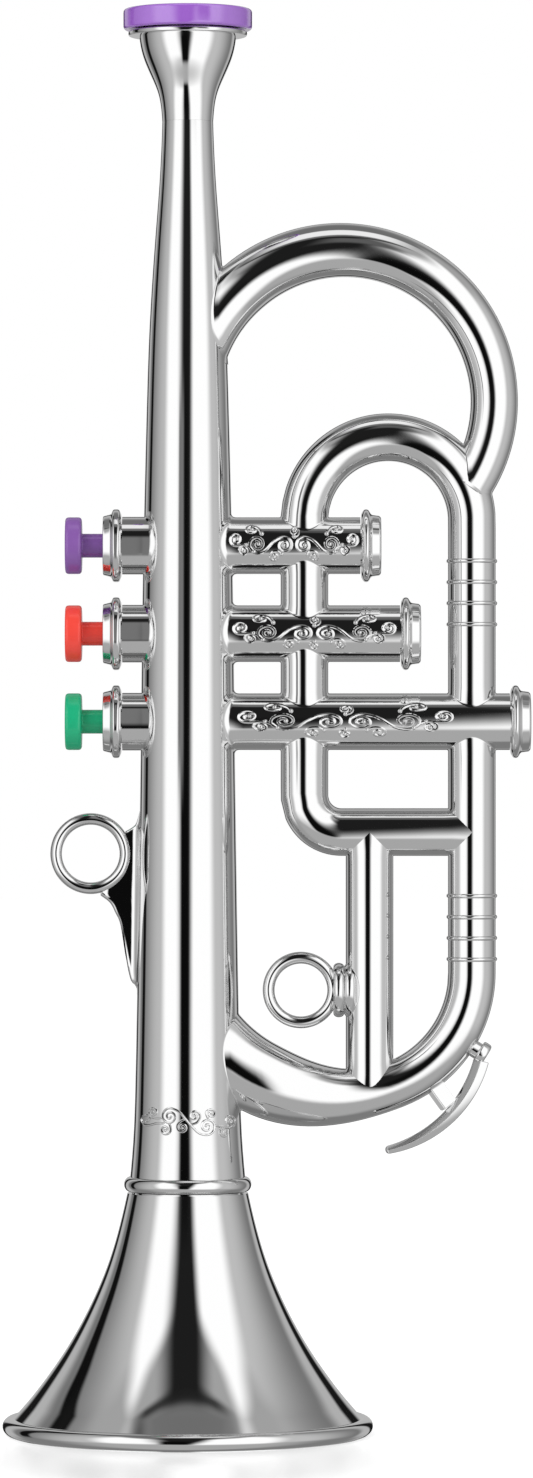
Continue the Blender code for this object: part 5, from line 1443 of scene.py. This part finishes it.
SCROLLS = scroll_tree()
print("scroll tree:", len(SCROLLS.nodes), "nodes")

# %% Lay the scrolls on the casings and the tube
CASING_SCROLLS = {              # middle in millimetres, stretch along and across, strands of its own
    1: (27.6, 1.0, 1.0, []),
    2: (32.85, 1.27, 0.95, FOOT_STRANDS),
    3: (40.9, 1.68, 0.93, FOOT_STRANDS),
}
CASING_WIRE = (0.42 * MM, 0.42 * MM, 0.58 * MM)   # how proud it stands, its radius, and that of its balls
TUBE_WIRE = (0.36 * MM, 0.32 * MM, 0.36 * MM)
TUBE_SCROLL_Z = 82.0 * MM
SLOPE_SPAN = 3 * MM             # above and below the scroll, to take the tube's slope from


def scroll(name, strands, radius, place, wire, slope=0.0):
    """Strands of (across the tube, along the tube) as seen from the front, wrapped and put in place."""
    proud, wire_radius, heart_radius = wire
    seed = bpy.data.meshes.new(name)
    verts, edges = [], []
    for strand in strands:
        line = smooth_line(strand, steps=3)
        edges += [(len(verts) + index, len(verts) + index + 1) for index in range(len(line) - 1)]
        verts += [(radius * math.asin(spot.x * MM / radius), 0.0, spot.y * MM) for spot in line]
    seed.from_pydata(verts, edges, [])
    data = grow(name, seed, SCROLLS, radius=radius + proud - wire_radius, slope=slope, wire_radius=wire_radius,
                heart_radius=heart_radius, material=CHROME)
    data.transform(place)
    fit(finish_mesh(name, data))


for number, (along, wide, tall, extra) in CASING_SCROLLS.items():
    strands = [[(-y * tall, x * wide) for x, y in strand] for strand in [*both_halves, *MIDDLE_STRANDS, *extra]]
    place = Matrix.Translation(on_axis(along * MM, valve_z[number])) @ Matrix.Rotation(math.pi / 2, 4, "Y")
    scroll(f"casing_scroll_{number}", strands, CASING_R, place, CASING_WIRE)
tube_slope = (tube_radius(TUBE_SCROLL_Z + SLOPE_SPAN) - tube_radius(TUBE_SCROLL_Z - SLOPE_SPAN)) / (2 * SLOPE_SPAN)
scroll("tube_scroll", TUBE_STRANDS, tube_radius(TUBE_SCROLL_Z), Matrix.Translation(on_axis(0.0, TUBE_SCROLL_Z)),
       TUBE_WIRE, slope=tube_slope)

# %% [markdown]
# ## Spit lever
#
# On a real trumpet this curved lever opens a valve that drains the tube. Here it is moulded in one
# piece with its post and its round boss. The blade is swept along an arc: its outer half is almost
# flat to the front and its inner half falls away, which is why half of it looks darker.

# %% Blade of the lever
LEVER_BEND = TIGHT_BEND + 1.1 * MM
LEVER_X = tight_x + 2.4 * MM
LEVER_Z = LEG_FOOT_Z - 14.6 * MM
LEVER_START = -15.0             # degrees, as its end
LEVER_END = -79.0
LEVER_ROOT_W = 4.0 * MM
LEVER_TIP_W = 1.9 * MM
LEVER_HALF = 3.0 * MM
LEVER_RINGS = 56


def lever_blade():
    """Blade with a shallow slope outside and a steep one inside, its tip rounded."""
    length = LEVER_BEND * math.radians(LEVER_START - LEVER_END)
    tip_half = LEVER_TIP_W / 2
    stations = [length * ring / LEVER_RINGS for ring in range(LEVER_RINGS + 1)]
    stations = [along for along in stations if along < length - tip_half]
    stations += [length - tip_half * (1 - math.sin(math.radians(angle))) for angle in range(0, 86, 12)]
    loops = []
    for along in stations:
        width = LEVER_ROOT_W + (LEVER_TIP_W - LEVER_ROOT_W) * (along / length) ** 2
        deep = LEVER_HALF
        left = length - along
        if left < tip_half:
            round_off = math.sqrt(max(0.0, 1 - (1 - left / tip_half) ** 2))
            width *= round_off
            deep *= 0.6 + 0.4 * round_off
        turn = math.radians(LEVER_START) - along / LEVER_BEND
        section = rounded([(width * 0.5, -deep * 0.78, 0.36 * MM), (-width * 0.04, -deep, 0.14 * MM),
                           (-width * 0.5, -deep * 0.35, 0.3 * MM), (-width * 0.5, deep * 0.35, 0.3 * MM),
                           (-width * 0.04, deep, 0.14 * MM), (width * 0.5, deep * 0.78, 0.36 * MM)], steps=3)
        loops.append([on_axis(LEVER_X + (LEVER_BEND + out) * math.cos(turn),
                              LEVER_Z + (LEVER_BEND + out) * math.sin(turn), side) for out, side in section])
    return skinned("blade", loops)


# %% Post and boss of the lever
WATER_ANGLE = -32.0
WATER_REACH = TIGHT_BEND + TUBE_R + 3.8 * MM
WATER_BOSS_R = 2.2 * MM
WATER_DISC_R = 3.1 * MM
WATER_DISC_T = 2.4 * MM
POST_ANGLE = -54.0
POST_W = 4.1 * MM
POST_L = TUBE_R + POST_W * 1.5 - 0.6 * MM
POST_TURN = -18.0               # degrees by which its front looks aside
POST_EDGE = 0.25 * MM


def on_ray(angle, distance):
    """Point at a distance from the centre of the tight bend."""
    turn = math.radians(angle)
    return on_axis(tight_x + distance * math.cos(turn), LEG_FOOT_Z + distance * math.sin(turn))


def ray(angle):
    """Direction of such a point from that centre."""
    return on_ray(angle, 1.0) - on_ray(angle, 0.0)


def bevelled_post():
    """Square post with broken edges, along its ray."""
    mesh = bmesh.new()
    bmesh.ops.create_cube(mesh, size=1.0, matrix=Matrix.Diagonal((POST_W, POST_W, POST_L, 1.0)))
    bmesh.ops.bevel(mesh, geom=mesh.edges[:], offset=POST_EDGE, segments=3, affect="EDGES")
    mesh.transform(lie_along(ray(POST_ANGLE), on_ray(POST_ANGLE, TIGHT_BEND + POST_L / 2))
                   @ Matrix.Rotation(math.radians(POST_TURN), 4, "Z"))
    data = bpy.data.meshes.new("post")
    mesh.to_mesh(data)
    mesh.free()
    return finish_mesh("post", data, CHROME)


def water_boss():
    """Round boss on the bow with a thick rounded disc on its end."""
    inside = WATER_REACH - WATER_DISC_T - TIGHT_BEND
    outline = rounded([(0.0, 0.0, 0.0), (WATER_BOSS_R, 0.0, 0.0), (WATER_BOSS_R, inside, 0.2 * MM),
                       (WATER_DISC_R, inside, 0.9 * MM), (WATER_DISC_R, inside + WATER_DISC_T, 0.9 * MM),
                       (0.0, inside + WATER_DISC_T, 0.0)])
    return turned("boss", outline, on_ray(WATER_ANGLE, TIGHT_BEND), axis=ray(WATER_ANGLE), columns=56)


fit(gathered("spit_lever", lever_blade(), bevelled_post(), water_boss()), "water_key")

# %% [markdown]
# ## Return springs
#
# Inside, a coil spring behind each key pushes it out again. It is barely seen, and it shortens when
# the key goes in. It gets a true helix from a node tree, with a wire swept along a spiral.

# %% Spring tree
SPRING_WIRE_R = 0.35 * MM
SPRING_R = FLANGE_R - SPRING_WIRE_R
SPRING_TURNS = 4.5
SPRING_STEPS = 40
SPRING_SIDES = 10


def spring_tree():
    """Helix of round wire with closed ends."""
    tree, given = new_tree("coil_spring", turns="Float", coil_radius="Float", wire_radius="Float", height="Float")
    coil = add_node(tree, "GeometryNodeCurveSpiral", {
        "Resolution": SPRING_STEPS, "Rotations": given["Turns"], "Start Radius": given["Coil radius"],
        "End Radius": given["Coil radius"], "Height": given["Height"]})
    return end_tree(tree, given, wired(tree, coil, given["Wire radius"], SPRING_SIDES))


SPRING = spring_tree()
for number in VALVES:
    low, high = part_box(f"key_spring_{number}")
    length = high.x - low.x
    data = grow(f"return_spring_{number}", empty_seed, SPRING, turns=SPRING_TURNS, coil_radius=SPRING_R,
                wire_radius=SPRING_WIRE_R, height=length - 2 * SPRING_WIRE_R, material=STEEL)
    data.transform(lie_along(RIGHT, (low.x + SPRING_WIRE_R, 0.0, valve_z[number])))
    spring = fit(finish_mesh(f"return_spring_{number}", data), f"key_spring_{number}", slot="spring_steel")
    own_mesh(spring)

# %% Finishes of the CAD solids inside
KEPT_FINISHES = {"reed_block": IVORY, "reed_plate": IVORY, "block_gasket": RUBBER, "plate_screw": STEEL,
                 "reed_1": BRASS, "reed_2": BRASS, "reed_3": BRASS, "valve_pad": RUBBER}
for name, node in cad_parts.items():
    for start, finish in KEPT_FINISHES.items():
        if name.startswith(start):
            node.data.materials.clear()
            node.data.materials.append(finish)
            print(name, "in", finish.name)

# %% Print the size of the visual box
low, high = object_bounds()
print("visual size in mm", [round(side / MM, 1) for side in high - low])
